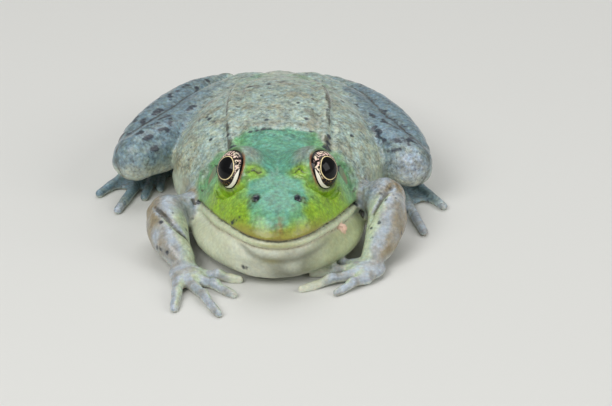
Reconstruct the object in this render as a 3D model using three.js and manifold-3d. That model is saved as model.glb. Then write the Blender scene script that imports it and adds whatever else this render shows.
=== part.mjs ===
// A life-size green frog, crouched on a level floor. Millimetres, +Z up; the frog faces -Y and its left is +X.
// Shapes are placed in the frog's own frame, whose origin is on the floor under the tip of the snout. The last
// lines move the whole group, so that the part's origin is on the floor under the middle of the animal.
import * as THREE from "three";
import { mergeVertices } from "three/addons/utils/BufferGeometryUtils.js";
import Module from "manifold-3d";

const wasm = await Module();
wasm.setup();

// ---------------------------------------------------------------- driving dimensions
const SNOUT_TO_VENT = 90;
const GAP = 0.3; // between neighbouring solids
const SETTLE = 0.12; // how far what rests on the floor is pressed flat
const NECK = { y: 32.5, leanDeg: 14 };
const EYE = { x: 7.85, y: 18.4, z: 18.7, radius: 4.35, gaze: [0.67, -0.6, 0.44] };
const LID = { x: 7.0, y: 19.3, z: 18.2, halves: [4.7, 6.1, 4.9], turnDeg: 28 };
const EARDRUM = { x: 14.0, y: 27.2, z: 13.0, radius: 2.9, facing: [0.92, -0.1, 0.38], depth: 1.6, sunk: 0.25 };
const RIDGE = { angleDeg: 58, spreadDeg: 4, height: 0.55, fromY: 25, toY: 68, fade: 6 };

// The trunk and head in cross-section, from snout to vent: half width, and the heights of the crown, of the
// widest line (the mouth, on the head) and of the underside. Jowl is how far the loose skin of the throat and
// breast bulges outwards below the widest line. Upper and lower are the powers of the rounding.
const SECTIONS = [
  { y: 0, half: 10.0, top: 15.2, mid: 11.5, low: 3.0, jowl: 1.0, upper: 2.2, lower: 2.5 },
  { y: 4, half: 10.0, top: 16.8, mid: 11.8, low: 1.6, jowl: 2.6, upper: 2.2, lower: 2.6 },
  { y: 8, half: 10.5, top: 17.8, mid: 11.6, low: 0.9, jowl: 4.2, upper: 2.2, lower: 2.6 },
  { y: 12, half: 11.8, top: 18.5, mid: 11.0, low: 0.7, jowl: 5.1, upper: 2.1, lower: 2.6 },
  { y: 16, half: 13.2, top: 18.9, mid: 10.4, low: 0.6, jowl: 5.4, upper: 2.0, lower: 2.6 },
  { y: 22, half: 14.9, top: 19.3, mid: 9.2, low: 0.5, jowl: 5.0, upper: 1.9, lower: 2.6 },
  { y: 28, half: 16.3, top: 19.9, mid: 7.9, low: 0.3, jowl: 4.2, upper: 1.9, lower: 2.6 },
  { y: 35, half: 19.4, top: 20.6, mid: 7.7, low: 0.0, jowl: 2.6, upper: 2.0, lower: 2.6 },
  { y: 42, half: 21.9, top: 21.2, mid: 8.0, low: -0.3, jowl: 1.4, upper: 2.1, lower: 2.6 },
  { y: 50, half: 21.4, top: 21.5, mid: 8.2, low: -0.35, jowl: 0.3, upper: 2.1, lower: 2.6 },
  { y: 58, half: 19.3, top: 20.8, mid: 8.4, low: -0.3, jowl: 0, upper: 2.1, lower: 2.6 },
  { y: 65, half: 16.6, top: 19.2, mid: 8.5, low: 0.1, jowl: 0, upper: 2.1, lower: 2.5 },
  { y: 72, half: 13.4, top: 16.9, mid: 8.4, low: 1.3, jowl: 0, upper: 2.1, lower: 2.3 },
  { y: 80, half: 9.8, top: 14.1, mid: 8.0, low: 3.0, jowl: 0, upper: 2.0, lower: 2.1 },
  { y: SNOUT_TO_VENT, half: 6.4, top: 11.2, mid: 7.6, low: 4.6, jowl: 0, upper: 2.0, lower: 2.0 },
];
// How far from each end the section has grown to its full width, crown and underside.
const SNOUT_CAP = { half: 12, top: 4.5, low: 5 };
const RUMP_CAP = { half: 8, top: 6, low: 6 };

// Limbs by their joints. A control is [x, y, z, half width, half depth], with x counted outwards.
const ARMS = {
  right: {
    side: -1,
    upperArm: [
      [11.5, 35.0, 6.0, 4.6, 4.4],
      [17.4, 28.0, 5.2, 4.2, 4.1],
      [22.2, 24.4, 6.0, 3.8, 3.9],
    ],
    forearm: [
      [22.7, 23.4, 6.4, 3.7, 3.7],
      [22.3, 18.6, 5.7, 4.2, 4.0],
      [21.1, 13.6, 4.1, 3.4, 3.2],
      [18.9, 9.8, 2.6, 2.5, 2.1],
    ],
    palm: { x: 18.2, y: 6.2, turnDeg: 12 },
    fingers: [
      { root: [15.6, 6.4], tip: [7.0, 5.2] },
      { root: [15.8, 4.4], tip: [8.2, -1.8] },
      { root: [17.2, 2.8], tip: [11.1, -10.4] },
      { root: [19.6, 3.0], tip: [20.2, -8.2] },
    ],
  },
  left: {
    side: 1,
    upperArm: [
      [11.5, 36.0, 6.4, 4.6, 4.4],
      [17.2, 30.0, 6.2, 4.3, 4.2],
      [21.2, 27.0, 8.0, 3.9, 4.1],
    ],
    forearm: [
      [22.3, 26.4, 8.8, 3.8, 3.9],
      [22.2, 21.0, 6.8, 4.0, 4.1],
      [21.2, 15.6, 4.5, 3.4, 3.2],
      [19.2, 11.4, 2.7, 2.5, 2.1],
    ],
    palm: { x: 18.0, y: 7.9, turnDeg: 50 },
    fingers: [
      { root: [16.0, 10.9], tip: [8.6, 12.4] },
      { root: [15.2, 8.8], tip: [6.4, 8.0] },
      { root: [15.6, 6.6], tip: [4.4, 0.9] },
      { root: [17.6, 4.8], tip: [11.4, -0.9] },
    ],
  },
};
const PALM = { halfLong: 4.2, halfWide: 3.4, halfHigh: 1.7 };
const FINGER = { root: 1.45, shaft: 1.1, joint: 1.25, tip: 0.9, arch: 0.5 };

const LEGS = {
  right: {
    side: -1,
    thigh: [
      [6.5, 73.5, 9.4, 7.8, 7.0],
      [13.0, 66.5, 9.8, 7.8, 6.4],
      [19.6, 57.5, 9.6, 6.8, 5.8],
      [25.2, 50.2, 9.9, 5.4, 5.5],
      [29.8, 45.2, 9.5, 4.1, 4.9],
    ],
    shank: [
      [31.3, 46.8, 8.4, 3.7, 4.3],
      [28.2, 55.0, 9.2, 5.0, 4.9],
      [23.9, 65.0, 9.8, 5.0, 4.8],
      [18.4, 77.0, 9.7, 3.9, 3.7],
      [11.9, 86.2, 8.3, 3.0, 3.0],
    ],
    ankle: [
      [12.4, 87.2, 4.4, 2.6, 2.6],
      [18.4, 78.4, 2.9, 2.1, 2.1],
      [23.4, 71.4, 2.0, 2.7, 2.0],
    ],
    sole: { x: 25.0, y: 68.0, turnDeg: 22 },
    toes: [
      [22.0, 56.0],
      [25.2, 48.0],
      [28.4, 43.8],
      [33.8, 37.3],
      [38.2, 45.6],
    ],
  },
  left: {
    side: 1,
    thigh: [
      [6.5, 73.5, 9.4, 7.8, 7.0],
      [12.8, 65.8, 9.8, 7.8, 6.4],
      [18.4, 56.0, 9.6, 6.6, 5.8],
      [23.2, 47.6, 9.8, 5.3, 5.5],
      [27.2, 42.2, 9.3, 4.1, 4.8],
    ],
    shank: [
      [28.6, 43.6, 8.4, 3.7, 4.3],
      [26.2, 52.0, 9.2, 5.0, 4.9],
      [22.2, 63.0, 9.8, 5.0, 4.8],
      [16.6, 75.2, 9.7, 3.9, 3.7],
      [10.2, 85.3, 8.3, 3.0, 3.0],
    ],
    ankle: [
      [10.6, 86.2, 4.4, 2.6, 2.6],
      [15.8, 76.6, 2.9, 2.1, 2.1],
      [20.2, 67.6, 2.0, 2.7, 2.0],
    ],
    sole: { x: 21.8, y: 64.0, turnDeg: 20 },
    toes: [
      [20.6, 51.0],
      [22.4, 43.6],
      [25.6, 37.4],
      [30.2, 26.8],
      [34.8, 39.3],
    ],
  },
};
const SOLE = { halfLong: 5.6, halfWide: 4.0, halfHigh: 1.7 };
const TOE = { root: 1.4, shaft: 1.1, joint: 1.2, tip: 0.85, arch: 0.3 };
const TOE_ROOT_REACH = 4.2; // from the middle of the sole
const WEB = { thickness: 0.8, height: 0.3, reach: [0.86, 0.86, 0.8, 0.66, 0.86], scallop: 0.2 };

const TINT = {
  green: 0x86a850,
  back: 0x8f9a7c,
  pale: 0xdcdcc0,
  limb: 0x949a86,
  eye: 0x15120e,
  drum: 0x8d8f78,
};

// ---------------------------------------------------------------- shared shape functions
const point = (x, y, z) => new THREE.Vector3(x, y, z);
const signedPower = (value, power) => Math.sign(value) * Math.abs(value) ** power;
const clamp01 = (value) => Math.min(1, Math.max(0, value));
const smoothStep = (value) => clamp01(value) ** 2 * (3 - 2 * clamp01(value));

// A closed three.js geometry as a manifold-3d solid, and back.
function solidOf(geometry) {
  const bare = new THREE.BufferGeometry().setAttribute("position", geometry.getAttribute("position"));
  if (geometry.index) bare.setIndex(geometry.index);
  const merged = mergeVertices(bare, 1e-4);
  const vertProperties = new Float32Array(merged.attributes.position.array);
  const triVerts = new Uint32Array(merged.index.array);
  return new wasm.Manifold(new wasm.Mesh({ numProp: 3, vertProperties, triVerts }));
}

function geometryOf(solid) {
  const mesh = solid.getMesh();
  const positions = new Float32Array(mesh.numVert * 3);
  for (let i = 0; i < mesh.numVert; i++) {
    positions.set(mesh.vertProperties.subarray(i * mesh.numProp, i * mesh.numProp + 3), i * 3);
  }
  return new THREE.BufferGeometry()
    .setAttribute("position", new THREE.BufferAttribute(positions, 3))
    .setIndex(new THREE.BufferAttribute(mesh.triVerts, 1));
}

// A skin over rings of points that have the same count, closed by a pole at each end.
function skinOver(rings, firstPole, lastPole) {
  const sides = rings[0].length;
  const points = [firstPole, ...rings.flat(), lastPole];
  const last = points.length - 1;
  const index = [];
  for (let j = 0; j < sides; j++) {
    const k = (j + 1) % sides;
    index.push(0, 1 + k, 1 + j);
    for (let i = 0; i < rings.length - 1; i++) {
      const a = 1 + i * sides;
      const b = a + sides;
      index.push(a + j, a + k, b + j, a + k, b + k, b + j);
    }
    const c = 1 + (rings.length - 1) * sides;
    index.push(last, c + j, c + k);
  }
  const geometry = new THREE.BufferGeometry().setFromPoints(points).setIndex(index);
  const solid = solidOf(geometry);
  return solid.volume() > 0 ? solid : solidOf(geometry.setIndex(index.reverse()));
}

// The largest closed body of a solid, so that a sliver left by a cut is dropped.
const largest = (solid) => solid.decompose().reduce((a, b) => (b.volume() > a.volume() ? b : a));

function ellipsoid(halves, centre, { turnDeg = 0, around = 20, down = 12 } = {}) {
  const turn = new THREE.Quaternion().setFromAxisAngle(point(0, 0, 1), THREE.MathUtils.degToRad(turnDeg));
  const place = new THREE.Matrix4().compose(point(...centre), turn, point(...halves));
  return solidOf(new THREE.SphereGeometry(1, around, down).applyMatrix4(place));
}

// ---------------------------------------------------------------- head and trunk
// A section value at y, on a cubic through the table whose slope at each row is that of its two neighbours.
function sectionValue(key, y) {
  const last = SECTIONS.length - 1;
  const after = SECTIONS.findIndex((row) => row.y > y);
  const i = after < 0 ? last - 1 : Math.max(0, after - 1);
  const slope = (n) => {
    const before = SECTIONS[Math.max(0, n - 1)];
    const next = SECTIONS[Math.min(last, n + 1)];
    return (next[key] - before[key]) / (next.y - before.y);
  };
  const [p, q] = [SECTIONS[i], SECTIONS[i + 1]];
  const span = q.y - p.y;
  const t = clamp01((y - p.y) / span);
  return (
    p[key] * (1 + 2 * t) * (1 - t) ** 2 +
    slope(i) * span * t * (1 - t) ** 2 +
    q[key] * t * t * (3 - 2 * t) +
    slope(i + 1) * span * t * t * (t - 1)
  );
}

// A quarter ellipse that grows from 0 at the snout or vent to 1 at the length of its cap.
function cap(key, y) {
  const fromSnout = 1 - clamp01(y / SNOUT_CAP[key]);
  const fromVent = 1 - clamp01((SNOUT_TO_VENT - y) / RUMP_CAP[key]);
  return Math.sqrt(1 - fromSnout ** 2) * Math.sqrt(1 - fromVent ** 2);
}

const ridgeStrength = (y) =>
  smoothStep((y - RIDGE.fromY) / RIDGE.fade) * smoothStep((RIDGE.toY - y) / RIDGE.fade);

// A point of the skin on the section at y, at an angle from the widest line: 0 is the left, 90 the crown.
function bodyPoint(y, angleDeg, grow) {
  const cosine = Math.cos(THREE.MathUtils.degToRad(angleDeg));
  const sine = Math.sin(THREE.MathUtils.degToRad(angleDeg));
  const above = sine >= 0;
  const mid = sectionValue("mid", y);
  const power = 2 / sectionValue(above ? "upper" : "lower", y);
  const half = sectionValue("half", y) * cap("half", y);
  const reach = above
    ? (sectionValue("top", y) - mid) * cap("top", y)
    : (mid - sectionValue("low", y)) * cap("low", y);
  const jowl = above ? 0 : sectionValue("jowl", y) * cap("half", y) * -2 * sine * cosine;
  const fromRidge = Math.abs(Math.abs(90 - angleDeg) - (90 - RIDGE.angleDeg));
  const out = grow + (fromRidge < 0.1 ? RIDGE.height * ridgeStrength(y) : 0);
  return point(
    (half + out) * signedPower(cosine, power) + jowl,
    y + grow * ((2 * y) / SNOUT_TO_VENT - 1),
    mid + (reach + out) * signedPower(sine, power),
  );
}

function bodySolid(grow = 0) {
  const between = 15; // degrees between points of a section
  const ridges = [RIDGE.angleDeg, 180 - RIDGE.angleDeg];
  const ridgeAngles = ridges.flatMap((a) => [a - RIDGE.spreadDeg, a, a + RIDGE.spreadDeg]);
  const even = Array.from({ length: 360 / between }, (_, j) => j * between);
  const clear = even.filter((a) => ridges.every((r) => Math.abs(r - a) > RIDGE.spreadDeg * 1.9));
  const angles = [...clear, ...ridgeAngles].sort((a, b) => a - b);
  const count = 23;
  const stations = Array.from({ length: count - 1 }, (_, k) => (1 - Math.cos((Math.PI * (k + 1)) / count)) / 2);
  const rings = stations.map((share) => angles.map((angle) => bodyPoint(SNOUT_TO_VENT * share, angle, grow)));
  return skinOver(
    rings,
    point(0, -grow, sectionValue("mid", 0)),
    point(0, SNOUT_TO_VENT + grow, sectionValue("mid", SNOUT_TO_VENT)),
  );
}

// A half space as a large box: everything on the side of the origin that `facing` points to.
function halfSpace(origin, facing, lift = 0) {
  const size = 400;
  const normal = point(...facing).normalize();
  const turn = new THREE.Quaternion().setFromUnitVectors(point(0, 0, 1), normal);
  const centre = point(...origin).addScaledVector(normal, size / 2 + lift);
  const place = new THREE.Matrix4().compose(centre, turn, point(1, 1, 1));
  return solidOf(new THREE.BoxGeometry(size, size, size).applyMatrix4(place));
}

// Everything below the line of the mouth, raised by `lift`: its profile from the side, carried across.
function belowMouth(lift) {
  const acrossHalf = 40;
  const line = [0, 2, 5, 8, 12, 16, 20, 24, 28, 32, 36].map((y) => new THREE.Vector2(y, sectionValue("mid", y) + lift));
  const profile = new THREE.Shape([
    new THREE.Vector2(-20, line[0].y),
    ...line,
    new THREE.Vector2(36, -20),
    new THREE.Vector2(-20, -20),
  ]);
  const geometry = new THREE.ExtrudeGeometry(profile, { depth: 2 * acrossHalf, bevelEnabled: false });
  const sideways = new THREE.Matrix4().makeBasis(point(0, 1, 0), point(0, 0, 1), point(1, 0, 0));
  return solidOf(geometry.applyMatrix4(sideways).translate(-acrossHalf, 0, 0));
}

const SIDES = { right: -1, left: 1 };
const pieces = []; // { name, solid, tint }
const add = (name, solid, tint) => pieces.push({ name, solid: largest(solid), tint });

const floor = halfSpace([0, 0, 0], [0, 0, -1]);
const neckLean = THREE.MathUtils.degToRad(NECK.leanDeg);
const neckFacing = [0, Math.cos(neckLean), -Math.sin(neckLean)];
const behindNeck = halfSpace([0, NECK.y, 10], neckFacing, -GAP / 2);
const beforeNeck = halfSpace([0, NECK.y, 10], neckFacing.map((v) => -v), -GAP / 2);

const body = bodySolid().subtract(floor);
const bodyGrown = bodySolid(GAP);
const bodySunk = bodySolid(-EARDRUM.sunk);

// The eyeball sits in the front and outer side of its lid, a bulge of the head.
function eyeball(side, grow) {
  return ellipsoid(Array(3).fill(EYE.radius + grow), [side * EYE.x, EYE.y, EYE.z], { around: 14, down: 8 });
}

function lid(side) {
  const turnDeg = side * LID.turnDeg;
  return ellipsoid(LID.halves, [side * LID.x, LID.y, LID.z], { turnDeg, around: 12, down: 7 });
}

function eardrum(side, grow) {
  const length = 5;
  const facing = point(side * EARDRUM.facing[0], EARDRUM.facing[1], EARDRUM.facing[2]).normalize();
  const turn = new THREE.Quaternion().setFromUnitVectors(point(0, 1, 0), facing);
  const radius = EARDRUM.radius + grow;
  const centre = point(side * EARDRUM.x, EARDRUM.y, EARDRUM.z).addScaledVector(
    facing,
    length / 2 - EARDRUM.depth - grow,
  );
  const place = new THREE.Matrix4().compose(centre, turn, point(1, 1, 1));
  return solidOf(new THREE.CylinderGeometry(radius, radius, length, 12).applyMatrix4(place));
}

let head = body.subtract(behindNeck).subtract(belowMouth(GAP / 2));
for (const side of Object.values(SIDES)) {
  head = head.add(lid(side)).subtract(eyeball(side, GAP)).subtract(eardrum(side, GAP));
}
add("head", head, TINT.green);
add("lower_jaw", body.subtract(behindNeck).intersect(belowMouth(-GAP / 2)), TINT.pale);
add("trunk", body.subtract(beforeNeck), TINT.back);
for (const [name, side] of Object.entries(SIDES)) {
  add(`eye_${name}`, eyeball(side, 0), TINT.eye);
  add(`eardrum_${name}`, eardrum(side, 0).intersect(bodySunk), TINT.drum);
}

// ---------------------------------------------------------------- limbs
// A tube of elliptical section along a Catmull-Rom curve through the controls, with rounded ends.
function limb(controls, side, { sides = 9, steps = 6, grow = 0 } = {}) {
  const curve = (points) => new THREE.CatmullRomCurve3(points, false, "catmullrom", 0.5);
  const path = curve(controls.map(([x, y, z]) => point(side * x, y, z)));
  const size = curve(controls.map(([, , , a, b]) => point(a + grow, b + grow, 0)));
  const up = point(0, 0, 1);
  const ringAt = (t, push, shrink) => {
    const along = path.getTangent(t);
    const across = new THREE.Vector3().crossVectors(along, up).normalize();
    const over = new THREE.Vector3().crossVectors(across, along);
    const centre = path.getPoint(t).addScaledVector(along, push);
    const half = size.getPoint(t);
    return Array.from({ length: sides }, (_, j) => {
      const angle = (2 * Math.PI * (j + 0.5)) / sides;
      return centre
        .clone()
        .addScaledVector(across, half.x * shrink * Math.cos(angle))
        .addScaledVector(over, half.y * shrink * Math.sin(angle));
    });
  };
  const endSize = (t) => Math.min(size.getPoint(t).x, size.getPoint(t).y);
  const shoulder = Math.SQRT1_2; // the one ring of an end's cap stands at 45 degrees
  const rings = [
    ringAt(0, -endSize(0) * shoulder, shoulder),
    ...Array.from({ length: steps + 1 }, (_, i) => ringAt(i / steps, 0, 1)),
    ringAt(1, endSize(1) * shoulder, shoulder),
  ];
  const pole = (t, push) => path.getPoint(t).addScaledVector(path.getTangent(t), push);
  return skinOver(rings, pole(0, -endSize(0)), pole(1, endSize(1)));
}

// A finger or toe: root, two joints and tip, arched a little between them, as limb controls.
function digitControls(root, tip, size) {
  const row = (share, radius, lift) => [
    root[0] + (tip[0] - root[0]) * share,
    root[1] + (tip[1] - root[1]) * share,
    radius + lift - SETTLE,
    radius,
    radius,
  ];
  return [
    row(0, size.root, 0),
    row(0.3, size.shaft, size.arch),
    row(0.46, size.joint, size.arch),
    row(0.64, size.shaft * 0.92, size.arch * 0.5),
    row(0.8, size.joint * 0.84, 0),
    row(1, size.tip, 0),
  ];
}
function digit(root, tip, size, side, grow = 0) {
  return limb(digitControls(root, tip, size), side, { sides: 6, steps: 4, grow });
}
const clearOfBody = (solid) => solid.subtract(bodyGrown).subtract(floor);

for (const [name, arm] of Object.entries(ARMS)) {
  const { side } = arm;
  const upperArm = limb(arm.upperArm, side, { steps: 4 });
  const upperArmGrown = limb(arm.upperArm, side, { steps: 4, grow: GAP });
  const forearm = limb(arm.forearm, side);
  const forearmGrown = limb(arm.forearm, side, { grow: GAP });
  const palm = (grow) =>
    ellipsoid(
      [PALM.halfWide + grow, PALM.halfLong + grow, PALM.halfHigh + grow],
      [side * arm.palm.x, arm.palm.y, PALM.halfHigh - SETTLE],
      { turnDeg: -side * arm.palm.turnDeg, around: 9, down: 5 },
    );
  add(`upper_arm_${name}`, clearOfBody(upperArm), TINT.limb);
  add(`forearm_${name}`, clearOfBody(forearm.subtract(upperArmGrown)), TINT.limb);
  add(`hand_${name}`, clearOfBody(palm(0).subtract(forearmGrown)), TINT.limb);
  let taken = palm(GAP).add(forearmGrown);
  arm.fingers.forEach(({ root, tip }, i) => {
    add(`finger_${i + 1}_${name}`, clearOfBody(digit(root, tip, FINGER, side).subtract(taken)), TINT.limb);
    taken = taken.add(digit(root, tip, FINGER, side, GAP));
  });
}

// The toes of one foot and the web between them, as one solid that is parted afterwards.
function webbedToes({ side, sole, toes }) {
  const hub = new THREE.Vector2(sole.x, sole.y);
  const tips = toes.map((tip) => new THREE.Vector2(...tip));
  const roots = tips.map((tip) => tip.clone().sub(hub).setLength(TOE_ROOT_REACH).add(hub));
  const reaches = tips.map((tip, i) => roots[i].clone().lerp(tip, WEB.reach[i]));
  const onSide = (v) => [side * v.x, v.y];
  const outline = new THREE.Shape();
  outline.moveTo(...onSide(hub));
  outline.lineTo(...onSide(reaches[0]));
  for (let i = 1; i < tips.length; i++) {
    const pull = reaches[i].clone().lerp(reaches[i - 1], 0.5).lerp(hub, WEB.scallop);
    outline.quadraticCurveTo(...onSide(pull), ...onSide(reaches[i]));
  }
  outline.closePath();
  const sheet = new THREE.ExtrudeGeometry(outline, { depth: WEB.thickness, bevelEnabled: false, curveSegments: 3 });
  const web = solidOf(sheet.translate(0, 0, WEB.height));
  return tips.reduce((sum, tip, i) => sum.add(digit(roots[i].toArray(), tip.toArray(), TOE, side)), web);
}

for (const [name, leg] of Object.entries(LEGS)) {
  const { side, sole, toes } = leg;
  const round = { sides: 9, steps: 7 };
  const thigh = limb(leg.thigh, side, round);
  const thighGrown = limb(leg.thigh, side, { ...round, grow: GAP });
  const shank = limb(leg.shank, side, round);
  const shankGrown = limb(leg.shank, side, { ...round, grow: GAP });
  const ankle = limb(leg.ankle, side, { steps: 4 });
  const ankleGrown = limb(leg.ankle, side, { steps: 4, grow: GAP });
  const soleSolid = (grow) =>
    ellipsoid(
      [SOLE.halfWide + grow, SOLE.halfLong + grow, SOLE.halfHigh + grow],
      [side * sole.x, sole.y, SOLE.halfHigh - SETTLE],
      { turnDeg: side * sole.turnDeg, around: 9, down: 5 },
    );
  const clearOfLeg = (solid) => clearOfBody(solid.subtract(shankGrown).subtract(thighGrown));
  add(`thigh_${name}`, clearOfBody(thigh), TINT.limb);
  add(`shank_${name}`, clearOfBody(shank.subtract(thighGrown)), TINT.limb);
  add(`ankle_${name}`, clearOfLeg(ankle), TINT.limb);
  add(`sole_${name}`, clearOfLeg(soleSolid(0).subtract(ankleGrown)), TINT.limb);

  const foot = clearOfLeg(webbedToes(leg).subtract(ankleGrown).subtract(soleSolid(GAP)));
  const bearings = toes.map(([x, y]) => Math.atan2(y - sole.y, x - sole.x));
  toes.forEach((_, i) => {
    const partedFrom = (solid, other) => {
      if (other < 0 || other >= toes.length) return solid;
      const middle = (bearings[i] + bearings[other]) / 2;
      const towards = Math.sign(bearings[other] - bearings[i]);
      const facing = [-Math.sin(middle) * towards * side, Math.cos(middle) * towards, 0];
      return solid.subtract(halfSpace([side * sole.x, sole.y, 0], facing, -GAP / 2));
    };
    add(`toe_${i + 1}_${name}`, partedFrom(partedFrom(foot, i - 1), i + 1), TINT.limb);
  });
}

// ---------------------------------------------------------------- the group
const frog = new THREE.Group();
for (const { name, solid, tint } of pieces) {
  const material = new THREE.MeshStandardMaterial({ color: tint, roughness: 0.45, metalness: 0 });
  const mesh = new THREE.Mesh(geometryOf(solid), material);
  mesh.name = name;
  frog.add(mesh);
}
const middle = new THREE.Box3().setFromObject(frog).getCenter(point(0, 0, 0));
frog.position.set(-middle.x, -middle.y, 0);

export default frog;
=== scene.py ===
"""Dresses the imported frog: one skin over its flesh, two eyes and two eardrums, on a pale studio floor.

Every shape is worked out in the frog's own frame, in millimetres: the origin is on the floor under the tip of
the snout, the frog faces -Y, its left is +X and Z is up. `to_scene` moves it into the frame of the solids.
Points come as rows of x, y and z. `p` stands for such rows and `q` for the same rows mirrored to the left,
and x, ax, y and z are their columns, ax being the distance from the middle.
"""

import math

import bpy
import numpy as np
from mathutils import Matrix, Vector


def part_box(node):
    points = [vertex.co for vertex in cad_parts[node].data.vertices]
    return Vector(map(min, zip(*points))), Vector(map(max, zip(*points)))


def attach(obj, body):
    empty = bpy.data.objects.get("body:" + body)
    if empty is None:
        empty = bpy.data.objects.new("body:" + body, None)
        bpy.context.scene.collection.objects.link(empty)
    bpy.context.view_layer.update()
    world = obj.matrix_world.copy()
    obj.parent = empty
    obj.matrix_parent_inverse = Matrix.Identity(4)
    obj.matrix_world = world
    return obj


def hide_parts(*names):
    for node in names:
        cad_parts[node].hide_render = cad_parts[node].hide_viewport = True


bl_info = {
    "name": "Green Frog",
    "version": (1, 0, 0),
    "blender": (4, 5, 0),
    "location": "3D View > Sidebar > Frog",
    "description": "Builds the skin, eyes and eardrums of a life-size green frog round its packed solids",
    "category": "Object",
}

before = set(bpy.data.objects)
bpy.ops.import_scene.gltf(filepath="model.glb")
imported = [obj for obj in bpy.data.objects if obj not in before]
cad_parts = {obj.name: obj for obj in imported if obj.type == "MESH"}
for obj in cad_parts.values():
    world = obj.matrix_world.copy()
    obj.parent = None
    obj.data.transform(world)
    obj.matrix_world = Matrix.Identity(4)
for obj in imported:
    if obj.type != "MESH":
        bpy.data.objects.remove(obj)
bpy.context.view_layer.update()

# ------------------------------------------------------------------ the frog's own sizes, in millimetres
SNOUT_TO_VENT = 90.0
EYE_CENTRE = np.array([7.85, 18.4, 18.7])
EYE_RADIUS = 4.35
EYE_GAZE = np.array([0.67, -0.60, 0.44])
LID_CENTRE = np.array([7.0, 19.3, 18.2])
LID_HALVES = np.array([4.7, 6.1, 4.9])
LID_TURN = 28.0
EARDRUM_CENTRE = np.array([14.0, 27.2, 13.0])
EARDRUM_RADIUS = 2.9
EARDRUM_FACING = np.array([0.92, -0.10, 0.38])
NOSTRIL = np.array([4.0, 8.1, 17.3])
RIDGE_LINE = ((23, 8.0), (30, 9.4), (40, 9.9), (50, 9.9), (60, 9.0), (70, 6.8))  # y, distance from the middle
FOLD_LINE = (
    (9.5, 23.8, 19.6), (12.4, 25.6, 17.6), (14.9, 27.6, 16.3), (17.0, 30.2, 14.0), (18.2, 32.2, 11.0)
)
WART = np.array([12.9, 12.9, 8.4])
WART_HALVES = np.array([1.25, 1.1, 0.95])
EYE_AROUND = 200  # points in each ring of an eyeball
EARDRUM_AROUND = 72  # and of an eardrum
SETTLE = 0.12  # how far what rests on the floor is pressed flat
FAR = 9.0  # a distance that stands for "nowhere near"
ROOM = {"x": (-41, 41), "y": (-12.5, 92), "z": (-0.45, 24)}  # where the skin is looked for
HEAD_ROOM = {"x": (-19, 19), "y": (0, 31)}  # where its mesh is finer
SLAB = 12  # layers of the grid worked out at a time
SIDES = {"right": -1, "left": 1}
CAMERA_TARGET = np.array([5.76, 17.0, 12.15])
LIGHT_TARGET = np.array([0.0, 35.0, 8.0])
LIGHTS = {  # place from the target and width, both in metres
    "key": ((-0.35, -0.45, 0.55), 0.45),
    "fill": ((0.55, -0.25, 0.35), 0.4),
    "top": ((0.05, 0.35, 0.7), 0.6),
}
MM = 0.001  # one millimetre in metres

# Cross-sections from snout to vent: y, half width, heights of crown, widest line (the mouth, on the head) and
# underside, bulge of the jowl, and the powers of the rounding above and below the widest line.
SECTION_KEYS = ("y", "half", "top", "mid", "low", "jowl", "upper", "lower")
SECTIONS = np.array([
    (0, 10.0, 15.2, 11.5, 3.0, 1.0, 2.2, 2.5),
    (4, 10.0, 16.8, 11.8, 1.6, 2.6, 2.2, 2.6),
    (8, 10.5, 17.8, 11.6, 0.9, 4.2, 2.2, 2.6),
    (12, 11.8, 18.5, 11.0, 0.7, 5.1, 2.1, 2.6),
    (16, 13.2, 18.9, 10.4, 0.6, 5.4, 2.0, 2.6),
    (22, 14.9, 19.3, 9.2, 0.5, 5.0, 1.9, 2.6),
    (28, 16.3, 19.9, 7.9, 0.3, 4.2, 1.9, 2.6),
    (35, 19.4, 20.6, 7.7, 0.0, 2.6, 2.0, 2.6),
    (42, 21.9, 21.2, 8.0, -0.3, 1.4, 2.1, 2.6),
    (50, 21.4, 21.5, 8.2, -0.35, 0.3, 2.1, 2.6),
    (58, 19.3, 20.8, 8.4, -0.3, 0, 2.1, 2.6),
    (65, 16.6, 19.2, 8.5, 0.1, 0, 2.1, 2.5),
    (72, 13.4, 16.9, 8.4, 1.3, 0, 2.1, 2.3),
    (80, 9.8, 14.1, 8.0, 3.0, 0, 2.0, 2.1),
    (SNOUT_TO_VENT, 6.4, 11.2, 7.6, 4.6, 0, 2.0, 2.0),
])
SNOUT_CAP = {"half": 12.0, "top": 4.5, "low": 5.0}
RUMP_CAP = {"half": 8.0, "top": 6.0, "low": 6.0}

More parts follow.
